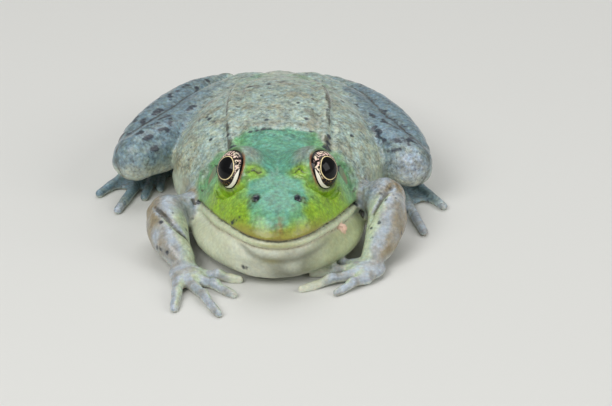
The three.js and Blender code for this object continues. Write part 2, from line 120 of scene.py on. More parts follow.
# Limbs by their joints: x outwards, y, z, half width, half depth. Palms and soles by x, y and turn in
# degrees, fingers by root and tip, toes by tip.
PALM = {"long": 4.2, "wide": 3.4, "high": 1.7}
SOLE = {"long": 5.6, "wide": 4.0, "high": 1.7}
FINGER = {"root": 1.42, "shaft": 1.02, "joint": 1.18, "tip": 0.82, "arch": 0.5}
TOE = {"root": 1.4, "shaft": 1.1, "joint": 1.2, "tip": 0.85, "arch": 0.3}
TOE_ROOT_REACH = 4.2
WEB = {"half": 0.36, "height": 0.7, "reach": (0.86, 0.86, 0.8, 0.66, 0.86), "scallop": 0.2}
ARMS = {
    "right": {
        "side": -1,
        "upper": [(11.5, 35.0, 6.0, 4.6, 4.4), (17.4, 28.0, 5.2, 4.2, 4.1), (22.2, 24.4, 6.0, 3.8, 3.9)],
        "fore": [(22.7, 23.4, 6.4, 3.7, 3.7), (22.3, 18.6, 5.7, 4.2, 4.0), (21.1, 13.6, 4.1, 3.4, 3.2),
                 (18.9, 9.8, 2.6, 2.5, 2.1)],
        "palm": (18.2, 6.2, 12.0),
        "fingers": [((15.6, 6.4), (7.0, 5.2)), ((15.8, 4.4), (8.2, -1.8)), ((17.2, 2.8), (11.1, -10.4)),
                    ((19.6, 3.0), (20.2, -8.2))],
    },
    "left": {
        "side": 1,
        "upper": [(11.5, 36.0, 6.4, 4.6, 4.4), (17.2, 30.0, 6.2, 4.3, 4.2), (21.2, 27.0, 8.0, 3.9, 4.1)],
        "fore": [(22.3, 26.4, 8.8, 3.8, 3.9), (22.2, 21.0, 6.8, 4.0, 4.1), (21.2, 15.6, 4.5, 3.4, 3.2),
                 (19.2, 11.4, 2.7, 2.5, 2.1)],
        "palm": (18.0, 7.9, 50.0),
        "fingers": [((16.0, 10.9), (8.6, 12.4)), ((15.2, 8.8), (6.4, 8.0)), ((15.6, 6.6), (4.4, 0.9)),
                    ((17.6, 4.8), (11.4, -0.9))],
    },
}
LEGS = {
    "right": {
        "side": -1,
        "thigh": [(6.5, 73.5, 9.4, 7.8, 7.0), (13.0, 66.5, 9.8, 7.8, 6.4), (19.6, 57.5, 9.6, 6.8, 5.8),
                  (25.2, 50.2, 9.9, 5.4, 5.5), (29.8, 45.2, 9.5, 4.1, 4.9)],
        "shank": [(31.3, 46.8, 8.4, 3.7, 4.3), (28.2, 55.0, 9.2, 5.0, 4.9), (23.9, 65.0, 9.8, 5.0, 4.8),
                  (18.4, 77.0, 9.7, 3.9, 3.7), (11.9, 86.2, 8.3, 3.0, 3.0)],
        "ankle": [(12.4, 87.2, 4.4, 2.6, 2.6), (18.4, 78.4, 2.9, 2.1, 2.1), (23.4, 71.4, 2.0, 2.7, 2.0)],
        "sole": (25.0, 68.0, 22.0),
        "toes": [(22.0, 56.0), (25.2, 48.0), (28.4, 43.8), (33.8, 37.3), (38.2, 45.6)],
    },
    "left": {
        "side": 1,
        "thigh": [(6.5, 73.5, 9.4, 7.8, 7.0), (12.8, 65.8, 9.8, 7.8, 6.4), (18.4, 56.0, 9.6, 6.6, 5.8),
                  (23.2, 47.6, 9.8, 5.3, 5.5), (27.2, 42.2, 9.3, 4.1, 4.8)],
        "shank": [(28.6, 43.6, 8.4, 3.7, 4.3), (26.2, 52.0, 9.2, 5.0, 4.9), (22.2, 63.0, 9.8, 5.0, 4.8),
                  (16.6, 75.2, 9.7, 3.9, 3.7), (10.2, 85.3, 8.3, 3.0, 3.0)],
        "ankle": [(10.6, 86.2, 4.4, 2.6, 2.6), (15.8, 76.6, 2.9, 2.1, 2.1), (20.2, 67.6, 2.0, 2.7, 2.0)],
        "sole": (21.8, 64.0, 20.0),
        "toes": [(20.6, 51.0), (22.4, 43.6), (25.6, 37.4), (30.2, 26.8), (34.8, 39.3)],
    },
}


# ------------------------------------------------------------------ small helpers
def unit(v):
    """The vector's direction, with length 1."""
    return np.asarray(v, float) / np.linalg.norm(v)


def turn_about_z(degrees):
    """Matrix that, applied from the right, takes points into axes turned by an angle about Z."""
    c, s = math.cos(math.radians(degrees)), math.sin(math.radians(degrees))
    return np.array([[c, -s, 0], [s, c, 0], [0, 0, 1]])


def to_left(p):
    """Points mirrored to the frog's left half."""
    return np.stack([np.abs(p[:, 0]), p[:, 1], p[:, 2]], 1)


def smooth(low, high, x):
    """0 below low, 1 above high, and a smooth step between."""
    t = np.clip((x - low) / (high - low), 0.0, 1.0)
    return t * t * (3.0 - 2.0 * t)


def bump(x, centre, width):
    """A bell curve of height 1."""
    return np.exp(-(((x - centre) / width) ** 2))


def join(a, b, k):
    """The smaller of two distances, rounded into each other over a band k."""
    h = np.clip(0.5 + 0.5 * (b - a) / k, 0.0, 1.0)
    return b + (a - b) * h - k * h * (1.0 - h)


def carve(a, b, k):
    """The distance a with the solid of distance b cut away, its edge rounded over a band k."""
    return -join(-a, b, k)


def ellipsoid_gap(q, half):
    """Distance to an ellipsoid at the origin: k0 (k0 - 1) / k1, with k0 = |q / half|, k1 = |q / half^2|."""
    scaled = q / half
    k0 = np.linalg.norm(scaled, axis=1) + 1e-9
    k1 = np.linalg.norm(scaled / half, axis=1) + 1e-9
    return k0 * (k0 - 1) / k1


def line_gap(p, line):
    """Distance to a line of straight pieces."""
    best = np.full(len(p), 1e9)
    for a, b in zip(line, line[1:]):
        e, w = b - a, p - a
        t = np.clip(w @ e / (e @ e), 0, 1)
        best = np.minimum(best, ((w - t[:, None] * e) ** 2).sum(1))
    return np.sqrt(best)


def inside_box(p, low, high):
    """Numbers of the points between two corners."""
    return np.flatnonzero(((p > low) & (p < high)).all(1))


def section(key, y):
    """The table's value at y, on a cubic whose slope at each row is that of its two neighbours."""
    ys, values = SECTIONS[:, 0], SECTIONS[:, SECTION_KEYS.index(key)]
    n = np.arange(len(ys))
    before, after = np.maximum(n - 1, 0), np.minimum(n + 1, len(ys) - 1)
    slope = (values[after] - values[before]) / (ys[after] - ys[before])
    i = np.clip(np.searchsorted(ys, y, side="right") - 1, 0, len(ys) - 2)
    span = ys[i + 1] - ys[i]
    t = np.clip((y - ys[i]) / span, 0.0, 1.0)
    return (
        values[i] * (1 + 2 * t) * (1 - t) ** 2
        + slope[i] * span * t * (1 - t) ** 2
        + values[i + 1] * t * t * (3 - 2 * t)
        + slope[i + 1] * span * t * t * (t - 1)
    )


def cap(key, y):
    """A quarter ellipse that grows from 0 at the snout or vent to 1 at the length of its cap."""
    snout = 1 - np.clip(y / SNOUT_CAP[key], 0, 1)
    vent = 1 - np.clip((SNOUT_TO_VENT - y) / RUMP_CAP[key], 0, 1)
    return np.sqrt(1 - snout**2) * np.sqrt(1 - vent**2)


def widest_line(y):
    """Height of the body's widest line at y: the mouth's, on the head."""
    return section("mid", np.clip(y, 0, SNOUT_TO_VENT))


def section_point(y, angle):
    """Half-section at y: x and height above the widest line, at an angle from -90 (keel) to 90 (crown)."""
    s, c = np.sin(np.radians(angle)), np.cos(np.radians(angle))
    above = s >= 0
    mid = section("mid", y)
    power = 2 / np.where(above, section("upper", y), section("lower", y))
    half = section("half", y) * cap("half", y)
    up = (section("top", y) - mid) * cap("top", y)
    down = (mid - section("low", y)) * cap("low", y)
    jowl = np.where(above, 0, section("jowl", y) * cap("half", y) * -2 * s * c)
    x = half * np.abs(c) ** power + jowl
    z = np.where(above, up, down) * np.sign(s) * np.abs(s) ** power
    return x, z


# ------------------------------------------------------------------ distance to the trunk and head
class BodyForm:
    """Radius of the body round its widest line, as a grid over y and polar angle, and its two slopes."""

    rows, columns = 541, 181
    first, last = 0.04, SNOUT_TO_VENT - 0.04

    def __init__(self):
        self.y = np.linspace(self.first, self.last, self.rows)
        self.step = self.y[1] - self.y[0]
        polar = np.linspace(-math.pi / 2, math.pi / 2, self.columns)
        self.turn = polar[1] - polar[0]
        angle = np.linspace(-90, 90, 361)[None, :]
        x, z = section_point(self.y[:, None], angle)
        x[:, [0, -1]] = 0
        phi, radius = np.arctan2(z, x), np.hypot(x, z)
        self.radius = np.array([np.interp(polar, p, r) for p, r in zip(phi, radius)])
        self.along = np.gradient(self.radius, self.step, axis=0)
        self.around = np.gradient(self.radius, self.turn, axis=1)
        self.mid = section("mid", self.y)
        self.mid_slope = np.gradient(self.mid, self.step)

    def distance(self, p):
        """First-order distance: the radial gap over the length of the field's gradient."""
        x, y = np.abs(p[:, 0]), np.clip(p[:, 1], self.first, self.last)
        row = (y - self.first) / self.step
        i = np.minimum(row.astype(int), self.rows - 2)
        fi = row - i
        mid = self.mid[i] * (1 - fi) + self.mid[i + 1] * fi
        dz = p[:, 2] - mid
        r = np.hypot(x, dz) + 1e-6
        column = (np.arctan2(dz, x) + math.pi / 2) / self.turn
        j = np.minimum(column.astype(int), self.columns - 2)
        fj = column - j

        def at(table):
            """The table's value at the points, straight between its rows and columns."""
            a = table[i, j] * (1 - fj) + table[i, j + 1] * fj
            b = table[i + 1, j] * (1 - fj) + table[i + 1, j + 1] * fj
            return a * (1 - fi) + b * fi

        radius, along, around = at(self.radius), at(self.along), at(self.around)
        mid_slope = self.mid_slope[i]
        reach = np.maximum(r, 0.5 * radius) + 1e-3
        lengthwise = -dz / r * mid_slope + around / reach * (x / r) * mid_slope - along
        gap = (r - radius) / np.sqrt(1 + (around / reach) ** 2 + lengthwise**2)
        beyond = p[:, 1] - y
        return np.where(beyond == 0, gap, np.hypot(np.maximum(gap, 0), beyond))


# ------------------------------------------------------------------ distance to the limbs
def catmull_rom(points, count):
    """Count + 1 points of the uniform Catmull-Rom curve through the given ones."""
    points = np.asarray(points, float)
    ends = np.vstack([2 * points[0] - points[1], points, 2 * points[-1] - points[-2]])
    s = np.linspace(0, len(points) - 1, count + 1)
    i = np.minimum(s.astype(int), len(points) - 2)
    t = (s - i)[:, None]
    a, b, c, d = ends[i], ends[i + 1], ends[i + 2], ends[i + 3]
    return b + 0.5 * t * (c - a + t * (2 * a - 5 * b + 4 * c - d + t * (3 * (b - c) + d - a)))


class Limb:
    """A tube of elliptical section along a curve through its controls, with rounded ends."""

    margin = 3.6  # how far outside the tube its distance is worked out

    def __init__(self, controls, side, count=20):
        line = catmull_rom(controls, count)
        self.centre = line[:, :3] * (side, 1, 1)
        self.half = line[:, 3:5]
        reach = self.half.max() + self.margin
        self.low, self.high = self.centre.min(0) - reach, self.centre.max(0) + reach
        self.joint = self.centre[0]

    def distance(self, p):
        """The least of the distances to the ellipsoid at each point's foot on each straight piece."""
        best = np.full(len(p), FAR)
        for a, b, (wa, ha), (wb, hb) in zip(self.centre, self.centre[1:], self.half, self.half[1:]):
            step = b - a
            along = unit(step)
            across = unit(np.cross(along, (0, 0, 1)))
            over = np.cross(across, along)
            reach = np.abs(step) / 2 + max(wa, ha, wb, hb) + self.margin
            near = np.flatnonzero((np.abs(p - (a + b) / 2) < reach).all(1))
            q = p[near] - a
            t = np.clip(q @ step / (step @ step), 0, 1)
            w, h = wa + (wb - wa) * t, ha + (hb - ha) * t
            q = q - t[:, None] * step
            e = np.minimum(w, h)
            u, v, s = q @ across / w, q @ over / h, q @ along / e
            k0 = np.sqrt(u * u + v * v + s * s) + 1e-9
            k1 = np.sqrt((u / w) ** 2 + (v / h) ** 2 + (s / e) ** 2) + 1e-9
            best[near] = np.minimum(best[near], k0 * (k0 - 1) / k1)
        return best


class Pad:
    """A palm or sole: an ellipsoid turned about Z."""

    def __init__(self, size, place, side, turn):
        x, y, degrees = place
        self.half = np.array([size["wide"], size["long"], size["high"]])
        self.centre = np.array([side * x, y, size["high"] - SETTLE])
        self.basis = turn_about_z(turn * degrees)
        self.low, self.high = self.centre - FAR, self.centre + FAR
        self.joint = self.centre

    def distance(self, p):
        """The ellipsoid's, in its own turned axes."""
        return ellipsoid_gap((p - self.centre) @ self.basis, self.half)


def digit_controls(root, tip, size):
    """Root, two joints and tip of a finger or toe, arched a little between them."""
    rows = (
        (0, size["root"], 0),
        (0.3, size["shaft"], size["arch"]),
        (0.46, size["joint"], size["arch"]),
        (0.64, size["shaft"] * 0.92, size["arch"] * 0.5),
        (0.8, size["joint"] * 0.84, 0),
        (1, size["tip"], 0),
    )
    root, tip = np.asarray(root), np.asarray(tip)
    last = tip - root - 0.7 * size["tip"] * unit(tip - root)
    return [(*(root + last * share), r + lift - SETTLE, r, r) for share, r, lift in rows]


class Web:
    """The sheet between the toes: a thin level slab inside an outline that dips between the tips."""

    def __init__(self, leg):
        hub = np.array(leg["sole"][:2])
        tips = np.array(leg["toes"], float)
        roots = hub + TOE_ROOT_REACH * (tips - hub) / np.linalg.norm(tips - hub, axis=1)[:, None]
        reach = roots + (tips - roots) * np.array(WEB["reach"])[:, None]
        outline = [hub, reach[0]]
        t = np.linspace(0, 1, 9)[1:, None]
        for a, b in zip(reach, reach[1:]):
            pull = (a + b) / 2 * (1 - WEB["scallop"]) + hub * WEB["scallop"]
            outline.extend((1 - t) ** 2 * a + 2 * t * (1 - t) * pull + t * t * b)
        self.outline = np.array(outline) * (leg["side"], 1)
        flat_low, flat_high = self.outline.min(0) - 3, self.outline.max(0) + 3
        self.low, self.high = np.append(flat_low, -3.0), np.append(flat_high, 5.0)
        self.joint = np.append(hub * (leg["side"], 1), WEB["height"])

    def distance(self, p):
        """Distance to the outline in plan, inside where a line along X crosses it an odd number of times."""
        q, inside, best = p[:, :2], np.zeros(len(p), bool), np.full(len(p), 1e9)
        for a, b in zip(self.outline, np.roll(self.outline, -1, axis=0)):
            e, w = b - a, q - a
            t = np.clip(w @ e / (e @ e), 0, 1)
            best = np.minimum(best, np.linalg.norm(w - t[:, None] * e, axis=1))
            crosses = (a[1] > q[:, 1]) != (b[1] > q[:, 1])
            if a[1] != b[1]:
                inside ^= crosses & (q[:, 0] < (q[:, 1] - a[1]) / (b[1] - a[1]) * e[0] + a[0])
        edge = np.where(inside, -best, best)
        level = np.abs(p[:, 2] - WEB["height"]) - WEB["half"]
        outside = np.hypot(np.maximum(edge, 0), np.maximum(level, 0))
        return outside + np.minimum(np.maximum(edge, level), 0)


def limb_parts():
    """Every limb piece, how softly it joins the flesh at its joint and elsewhere, and the joint's reach."""
    parts = []
    for arm in ARMS.values():
        side = arm["side"]
        parts.append((Limb(arm["upper"], side), 2.6, 1.6, 8.0))
        parts.append((Limb(arm["fore"], side), 3.2, 0.5, 6.0))
        parts.append((Pad(PALM, arm["palm"], side, -side), 1.8, 0.3, 5.5))
        for root, tip in arm["fingers"]:
            parts.append((Limb(digit_controls(root, tip, FINGER), side, 14), 1.1, 0.2, 3.0))
    for leg in LEGS.values():
        side = leg["side"]
        parts.append((Limb(leg["thigh"], side, 26), 3.4, 1.0, 9.0))
        parts.append((Limb(leg["shank"], side, 26), 2.4, 0.6, 4.5))
        parts.append((Limb(leg["ankle"], side, 14), 2.0, 0.5, 4.5))
        parts.append((Pad(SOLE, leg["sole"], side, side), 2.2, 0.5, 6.0))
        hub = np.array(leg["sole"][:2])
        for tip in np.array(leg["toes"], float):
            root = hub + TOE_ROOT_REACH * unit(tip - hub)
            parts.append((Limb(digit_controls(root, tip, TOE), side, 14), 1.4, 0.5, 4.0))
        parts.append((Web(leg), 0.9, 0.9, 5.0))
    return parts


def along_limb(limb, share, degrees):
    """A point on a limb's surface at a share of its length and an angle round it, 90 being uppermost."""
    s = share * (len(limb.centre) - 1)
    i = min(int(s), len(limb.centre) - 2)
    t = s - i
    centre = limb.centre[i] * (1 - t) + limb.centre[i + 1] * t
    w, h = limb.half[i] * (1 - t) + limb.half[i + 1] * t
    along = unit(limb.centre[i + 1] - limb.centre[i])
    across = unit(np.cross(along, (0, 0, 1)))
    over = np.cross(across, along)
    a = math.radians(degrees)
    return centre + across * w * math.cos(a) + over * h * math.sin(a)


def creases():
    """Curves where the skin folds in at the elbows and armpits, each with its depth and width."""
    elbow_right = [(-25.2, 21.6, 9.2), (-24.7, 20.6, 9.3), (-23.2, 17.6, 9.2), (-21.7, 15.7, 8.5),
                   (-20.3, 14.4, 7.6), (-19.3, 13.9, 6.5), (-18.4, 13.6, 5.0)]
    elbow_left = [(23.4, 24.8, 12.2), (22.7, 23.6, 12.0), (21.6, 21.9, 11.4), (20.4, 20.2, 10.2),
                  (19.2, 18.7, 8.7), (18.5, 17.8, 7.3), (18.1, 17.3, 6.0)]
    armpit_right = [(-17.4, 25.8, 9.2), (-17.0, 24.4, 6.8), (-16.4, 23.4, 4.4)]
    armpit_left = [(18.2, 27.6, 9.6), (17.6, 25.6, 7.2), (17.0, 24.4, 4.6)]
    return [
        (catmull_rom(elbow_right, 24), 0.85, 0.55),
        (catmull_rom(elbow_left, 24), 0.85, 0.55),
        (catmull_rom(armpit_right, 8), 0.5, 0.45),
        (catmull_rom(armpit_left, 8), 0.5, 0.45),
    ]


def eye_axes():
    """Rows: across, up and along the left eye's gaze."""
    gaze = unit(EYE_GAZE)
    rise = unit(np.array([0, 0, 1]) - gaze[2] * gaze)
    return np.array([np.cross(rise, gaze), rise, gaze])


def lid_opening(a, b):
    """Angle in degrees from the gaze to the lids' rim, on the side that the offsets a and b point to."""
    wide = np.where(a > 0, 74.0, 52.0)
    tall = np.where(b > 0, 64.0, 68.0)
    return (wide * a * a + tall * b * b) / (a * a + b * b + 1e-9)


# ------------------------------------------------------------------ the whole skin as one distance field
class Flesh:
    """Body, limbs, lids and folds joined into one field, negative inside."""

    def __init__(self):
        self.body = BodyForm()
        self.parts = limb_parts()
        self.eye_axes = eye_axes()
        self.drum_facing = unit(EARDRUM_FACING)
        ridge_y = np.linspace(RIDGE_LINE[0][0], RIDGE_LINE[-1][0], 48)
        out = catmull_rom(RIDGE_LINE, len(ridge_y) - 1)[:, 1] / section("half", ridge_y)
        x, z = section_point(ridge_y, np.degrees(np.arccos(out ** (section("upper", ridge_y) / 2))))
        self.ridge = np.stack([x, ridge_y, z + section("mid", ridge_y)], 1)
        self.fold = catmull_rom(FOLD_LINE, 20)
        self.creases = creases()

    def eye_place(self, q):
        """Distance from the eye's centre, offsets across and up from the gaze, arc beyond the lids' rim."""
        eye = q - EYE_CENTRE
        rho = np.linalg.norm(eye, axis=1) + 1e-9
        a, b, c = (eye @ self.eye_axes.T).T
        angle = np.degrees(np.arccos(np.clip(c / rho, -1, 1)))
        return rho, a, b, np.radians(angle - lid_opening(a, b)) * np.minimum(rho, 7)

    def drum_place(self, q):
        """Height over the eardrum's plane and distance from its axis."""
        drum = q - EARDRUM_CENTRE
        depth = drum @ self.drum_facing
        return depth, np.sqrt(np.maximum((drum**2).sum(1) - depth**2, 0))

    @staticmethod
    def with_lids(f, q, rho, beyond):
        """A dome over each eye, hollowed to a lid that thins towards the rim of its opening."""
        lid = ellipsoid_gap((q - LID_CENTRE) @ turn_about_z(LID_TURN), LID_HALVES)
        f = join(f, join(lid, rho - (EYE_RADIUS + 0.45), 1.0), 4.0)
        thin = rho - (EYE_RADIUS + 0.34 + 0.62 * np.maximum(beyond, 0))
        thin = np.where(rho < 7.6, thin - 6 * smooth(1.8, 3.4, beyond) - 6 * smooth(6.2, 7.6, rho), -6)
        return carve(f, -thin, 0.7)

    @staticmethod
    def with_lips(f, q):
        """A groove along the widest line, an upper lip over it, a rolled lower lip and a fold under that."""
        s = q[:, 2] - section("mid", np.clip(q[:, 1], 0, 40))
        corner = 1 - smooth(27.0, 31.0, q[:, 1])
        lips = 0.30 * bump(s, 0.85, 0.7) + 0.36 * bump(s, -0.95, 0.6) - 0.34 * bump(s, -1.95, 0.45)
        mouth = 0.95 * bump(s, -0.05, 0.26) + 0.3 * smooth(0, -0.5, s) * smooth(-6, -2, s)
        return f - corner * (lips - mouth)

    @staticmethod
    def with_nostrils(f, q):
        """A low mound with a pit that opens forwards and up."""
        mound = np.linalg.norm((q - NOSTRIL) / (1.5, 1.6, 1.6), axis=1)
        pit = np.linalg.norm((q - NOSTRIL - (0.3, -0.6, 0.35)) / (1.05, 0.95, 1.3), axis=1)
        return carve(f - 0.6 * np.exp(-(mound**2)), pit * 0.9 - 0.72, 0.18)

    def with_eardrum_seats(self, f, q):
        """A shallow seat with a raised rim, under a fold that runs from the lid to the shoulder."""
        depth, spread = self.drum_place(q)
        rim = 0.28 * bump(spread, EARDRUM_RADIUS + 0.55, 0.6)
        seat = rim - 0.6 * smooth(0.35, -0.35, spread - EARDRUM_RADIUS)
        f = f - bump(depth, 0, 3.0) * seat
        return f - 0.6 * np.exp(-((line_gap(q, self.fold) / 0.85) ** 2))

    def head(self, f, p):
        """All that the head adds to the body; but for the wart, the same on both sides."""
        q = to_left(p)
        rho, _, _, beyond = self.eye_place(q)
        hollow = 0.9 * np.exp(-(((q - (11.6, 13.6, 15.6)) / (3.2, 3.6, 2.6)) ** 2).sum(1))
        f = self.with_lips(self.with_lids(f + hollow, q, rho, beyond), q)
        wart = np.linalg.norm((p - WART) / WART_HALVES, axis=1)
        f = np.where(wart < 3, join(f, wart - 1, 0.35), f)
        f = self.with_eardrum_seats(self.with_nostrils(f, q), q)
        opening = np.maximum(beyond, np.maximum(3.9 - rho, rho - 6.6))
        return carve(f, opening, 0.15)

    def distance(self, p):
        """Body with ridges, then the head's forms, then each limb in turn, then the creases and the floor."""
        f = self.body.distance(p)
        near = np.flatnonzero((np.abs(f) < 3) & (p[:, 1] > 20) & (p[:, 1] < 72) & (p[:, 2] > 12))
        q = to_left(p[near])
        strength = smooth(24, 30, q[:, 1]) * smooth(70, 62, q[:, 1])
        gap = line_gap(q, self.ridge)
        f[near] -= strength * (0.75 * bump(gap, 0, 0.85) - 0.25 * bump(gap, 1.7, 0.7))
        near = np.flatnonzero((p[:, 1] < 36) & (np.abs(p[:, 0]) < 20) & (f < FAR))
        f[near] = self.head(f[near], p[near])
        for part, at_joint, elsewhere, reach in self.parts:
            near = inside_box(p, part.low, part.high)
            q = p[near]
            from_joint = np.linalg.norm(q - part.joint, axis=1)
            k = elsewhere + (at_joint - elsewhere) * np.exp(-((from_joint / reach) ** 2))
            f[near] = join(f[near], part.distance(q), k)
        for line, depth, width in self.creases:
            near = inside_box(p, line.min(0) - 2, line.max(0) + 2)
            near = near[np.abs(f[near]) < 2]
            f[near] += depth * bump(line_gap(p[near], line), 0, width)
        return np.maximum(f, -p[:, 2])


# ------------------------------------------------------------------ a mesh on the field
def without_pinches(value, rounds=8, least=1e-4):
    """The grid's values with no square whose corners alternate in sign: its corner nearest 0 is flipped."""
    for _ in range(rounds):
        found = 0
        for u, v in ((0, 1), (0, 2), (1, 2)):
            inside = value < 0
            near, far = np.roll(inside, -1, u), np.roll(inside, -1, v)
            mixed = (inside == np.roll(near, -1, v)) & (near == far) & (inside != near)
            squares = np.argwhere(mixed)
            squares = squares[(squares[:, u] < value.shape[u] - 1) & (squares[:, v] < value.shape[v] - 1)]
            corners = np.repeat(squares[None], 4, 0)
            corners[1:3, :, u] += 1
            corners[2:4, :, v] += 1
            size = np.abs(value[tuple(np.moveaxis(corners, 2, 0))])
            weakest = tuple(corners[size.argmin(0), np.arange(len(squares))].T)
            value[weakest] = np.where(value[weakest] < 0, least, -least)
            found += len(squares)
        if not found:
            break
    return value


def largest_piece(points, quads):
    """The quads joined to one another over the most points, and those points alone."""
    label = np.arange(len(points))
    while True:
        lowest = label.copy()
        np.minimum.at(lowest, quads.ravel(), np.repeat(label[quads].min(1), 4))
        lowest = lowest[lowest]
        if (lowest == label).all():
            break
        label = lowest
    keep = label == np.bincount(label).argmax()
    number = np.cumsum(keep) - 1
    return points[keep], number[quads[keep[quads[:, 0]]]]


def spaced(stops):
    """Grid lines: (from, to, step) stretches end to end."""
    lines = [np.linspace(a, b, max(2, round((b - a) / step) + 1))[:-1] for a, b, step in stops]
    return np.concatenate([*lines, [stops[-1][1]]])


def surface_net(axes, value):
    """One vertex in each grid cell that the surface crosses, and one quad round each grid edge it crosses.

    The vertex is the mean of the points where the cell's edges cross the surface, by straight interpolation.
    """
    inside = value < 0
    shape = np.array(value.shape) - 1
    corners = [(i, j, k) for i in (0, 1) for j in (0, 1) for k in (0, 1)]
    count = np.zeros(shape, np.int8)
    for i, j, k in corners:
        count += inside[i:i + shape[0], j:j + shape[1], k:k + shape[2]]
    cells = np.argwhere((count > 0) & (count < 8))
    number = np.full(shape, -1)
    number[tuple(cells.T)] = np.arange(len(cells))
    total, hits = np.zeros((len(cells), 3)), np.zeros(len(cells))
    for corner in corners:
        for axis in range(3):
            if corner[axis]:
                continue
            a = cells + corner
            b = a.copy()
            b[:, axis] += 1
            va, vb = value[tuple(a.T)], value[tuple(b.T)]
            crosses = (va < 0) != (vb < 0)
            t = np.where(crosses, va / np.where(crosses, va - vb, 1), 0)[:, None]
            pa = np.stack([axes[n][a[:, n]] for n in range(3)], 1)
            pb = np.stack([axes[n][b[:, n]] for n in range(3)], 1)
            total += np.where(crosses[:, None], pa + (pb - pa) * t, 0)
            hits += crosses
    quads = []
    for axis in range(3):
        u, v = (axis + 1) % 3, (axis + 2) % 3
        index = np.argwhere(inside != np.roll(inside, -1, axis))
        index = index[(index[:, axis] < shape[axis]) & (index[:, u] > 0) & (index[:, v] > 0)
                      & (index[:, u] < shape[u]) & (index[:, v] < shape[v])]
        rim = []
        for du, dv in ((-1, -1), (0, -1), (0, 0), (-1, 0)):
            cell = index.copy()
            cell[:, u] += du
            cell[:, v] += dv
            rim.append(number[tuple(cell.T)])
        quad = np.stack(rim, 1)
        flip = ~inside[tuple(index.T)]
        quad[flip] = quad[flip][:, ::-1]
        quads.append(quad)
    return total / hits[:, None], np.concatenate(quads)


def gradient(field, p, step=0.04):
    """Central differences of the field."""
    out = np.empty_like(p)
    for axis in range(3):
        shift = np.zeros(3)
        shift[axis] = step
        out[:, axis] = (field(p + shift) - field(p - shift)) / (2 * step)
    return out


def settle_on(field, p, rounds, longest=0.33):
    """Newton steps along the gradient: p - field g / |g|^2, each no longer than the longest allowed."""
    for _ in range(rounds):
        g = gradient(field, p)
        step = (field(p) / np.maximum((g * g).sum(1), 0.2))[:, None] * g
        size = np.linalg.norm(step, axis=1, keepdims=True)
        p = p - step * np.minimum(1, longest / np.maximum(size, 1e-9))
    return p


def relax(p, quads, share=0.6):
    """Each vertex moves a share of the way to the mean of its neighbours along the quads' edges."""
    a, b = quads.ravel(), np.roll(quads, -1, axis=1).ravel()
    ends, others = np.concatenate([a, b]), np.concatenate([b, a])
    count = np.bincount(ends, minlength=len(p))[:, None]
    mean = np.stack([np.bincount(ends, p[others, n], len(p)) for n in range(3)], 1) / count
    return p + share * (mean - p)


def to_scene(p):
    """Millimetres in the frog's own frame to metres in the frame of the solids."""
    low, high = (np.array(corner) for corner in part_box("eye_left"))
    return (low + high) / 2 + (p - EYE_CENTRE) * MM


def new_mesh(name, points, *faces):
    """An object at the origin: points in metres, and arrays of faces, each with its own number of sides."""
    mesh = bpy.data.meshes.new(name)
    mesh.vertices.add(len(points))
    mesh.vertices.foreach_set("co", np.asarray(points, np.float32).ravel())
    corners = np.concatenate([np.ravel(rows) for rows in faces]).astype(np.int32)
    mesh.loops.add(len(corners))
    mesh.loops.foreach_set("vertex_index", corners)
    sides = np.concatenate([np.full(len(rows), np.shape(rows)[1], np.int32) for rows in faces])
    mesh.polygons.add(len(sides))
    mesh.polygons.foreach_set("loop_start", np.cumsum(sides, dtype=np.int32) - sides)
    mesh.update(calc_edges=True)
    mesh.validate()
    mesh.polygons.foreach_set("use_smooth", np.ones(len(mesh.polygons), bool))
    obj = bpy.data.objects.new(name, mesh)
    bpy.context.scene.collection.objects.link(obj)
    return obj


def turned(radius, height, around, first_pole, last_pole):
    """Rings of points (radius cos t, radius sin t, height), then a pole on the axis at each given height."""
    t = np.linspace(0, 2 * math.pi, around, endpoint=False)
    rings = np.broadcast_arrays(radius[:, None] * np.cos(t), radius[:, None] * np.sin(t), height[:, None])
    return np.concatenate([np.stack(rings, -1).reshape(-1, 3), [(0, 0, first_pole), (0, 0, last_pole)]])


def round_mesh(name, points, around, inside_out):
    """Rings of points, each with `around` points, joined by quads, and by triangles to a pole at each end.

    The two poles are the last two points. `inside_out` turns the faces of points given mirrored.
    """
    rings = (len(points) - 2) // around
    row = np.arange(around)
    ahead = np.roll(row, -1)
    first = np.arange(rings - 1)[:, None] * around
    quads = np.stack([first + row, first + ahead, first + ahead + around, first + row + around], -1)
    last = (rings - 1) * around
    caps = np.concatenate([
        np.stack([np.full(around, rings * around), ahead, row], 1),
        np.stack([np.full(around, rings * around + 1), last + row, last + ahead], 1),
    ])
    order = slice(None, None, -1 if inside_out else 1)
    return new_mesh(name, points, quads.reshape(-1, 4)[:, order], caps[:, order])


# ------------------------------------------------------------------ noise and markings
def waves(p, size, seed, count=24):
    """Smooth noise of about unit spread: the sum of plane waves of one length in random directions."""
    rng = np.random.default_rng(seed)
    way = rng.normal(size=(count, 3))
    per_length = (2 * math.pi / size) * rng.uniform(0.7, 1.4, (count, 1))
    way *= per_length / np.linalg.norm(way, axis=1, keepdims=True)
    return np.cos(p @ way.T + rng.uniform(0, 2 * math.pi, count)).sum(1) * math.sqrt(2 / count)


def on_body(y, angle, side):
    """A point of the trunk or head's surface."""
    x, z = section_point(np.array([float(y)]), np.array([float(angle)]))
    return np.array([side * x[0], y, section("mid", np.array([float(y)]))[0] + z[0]])


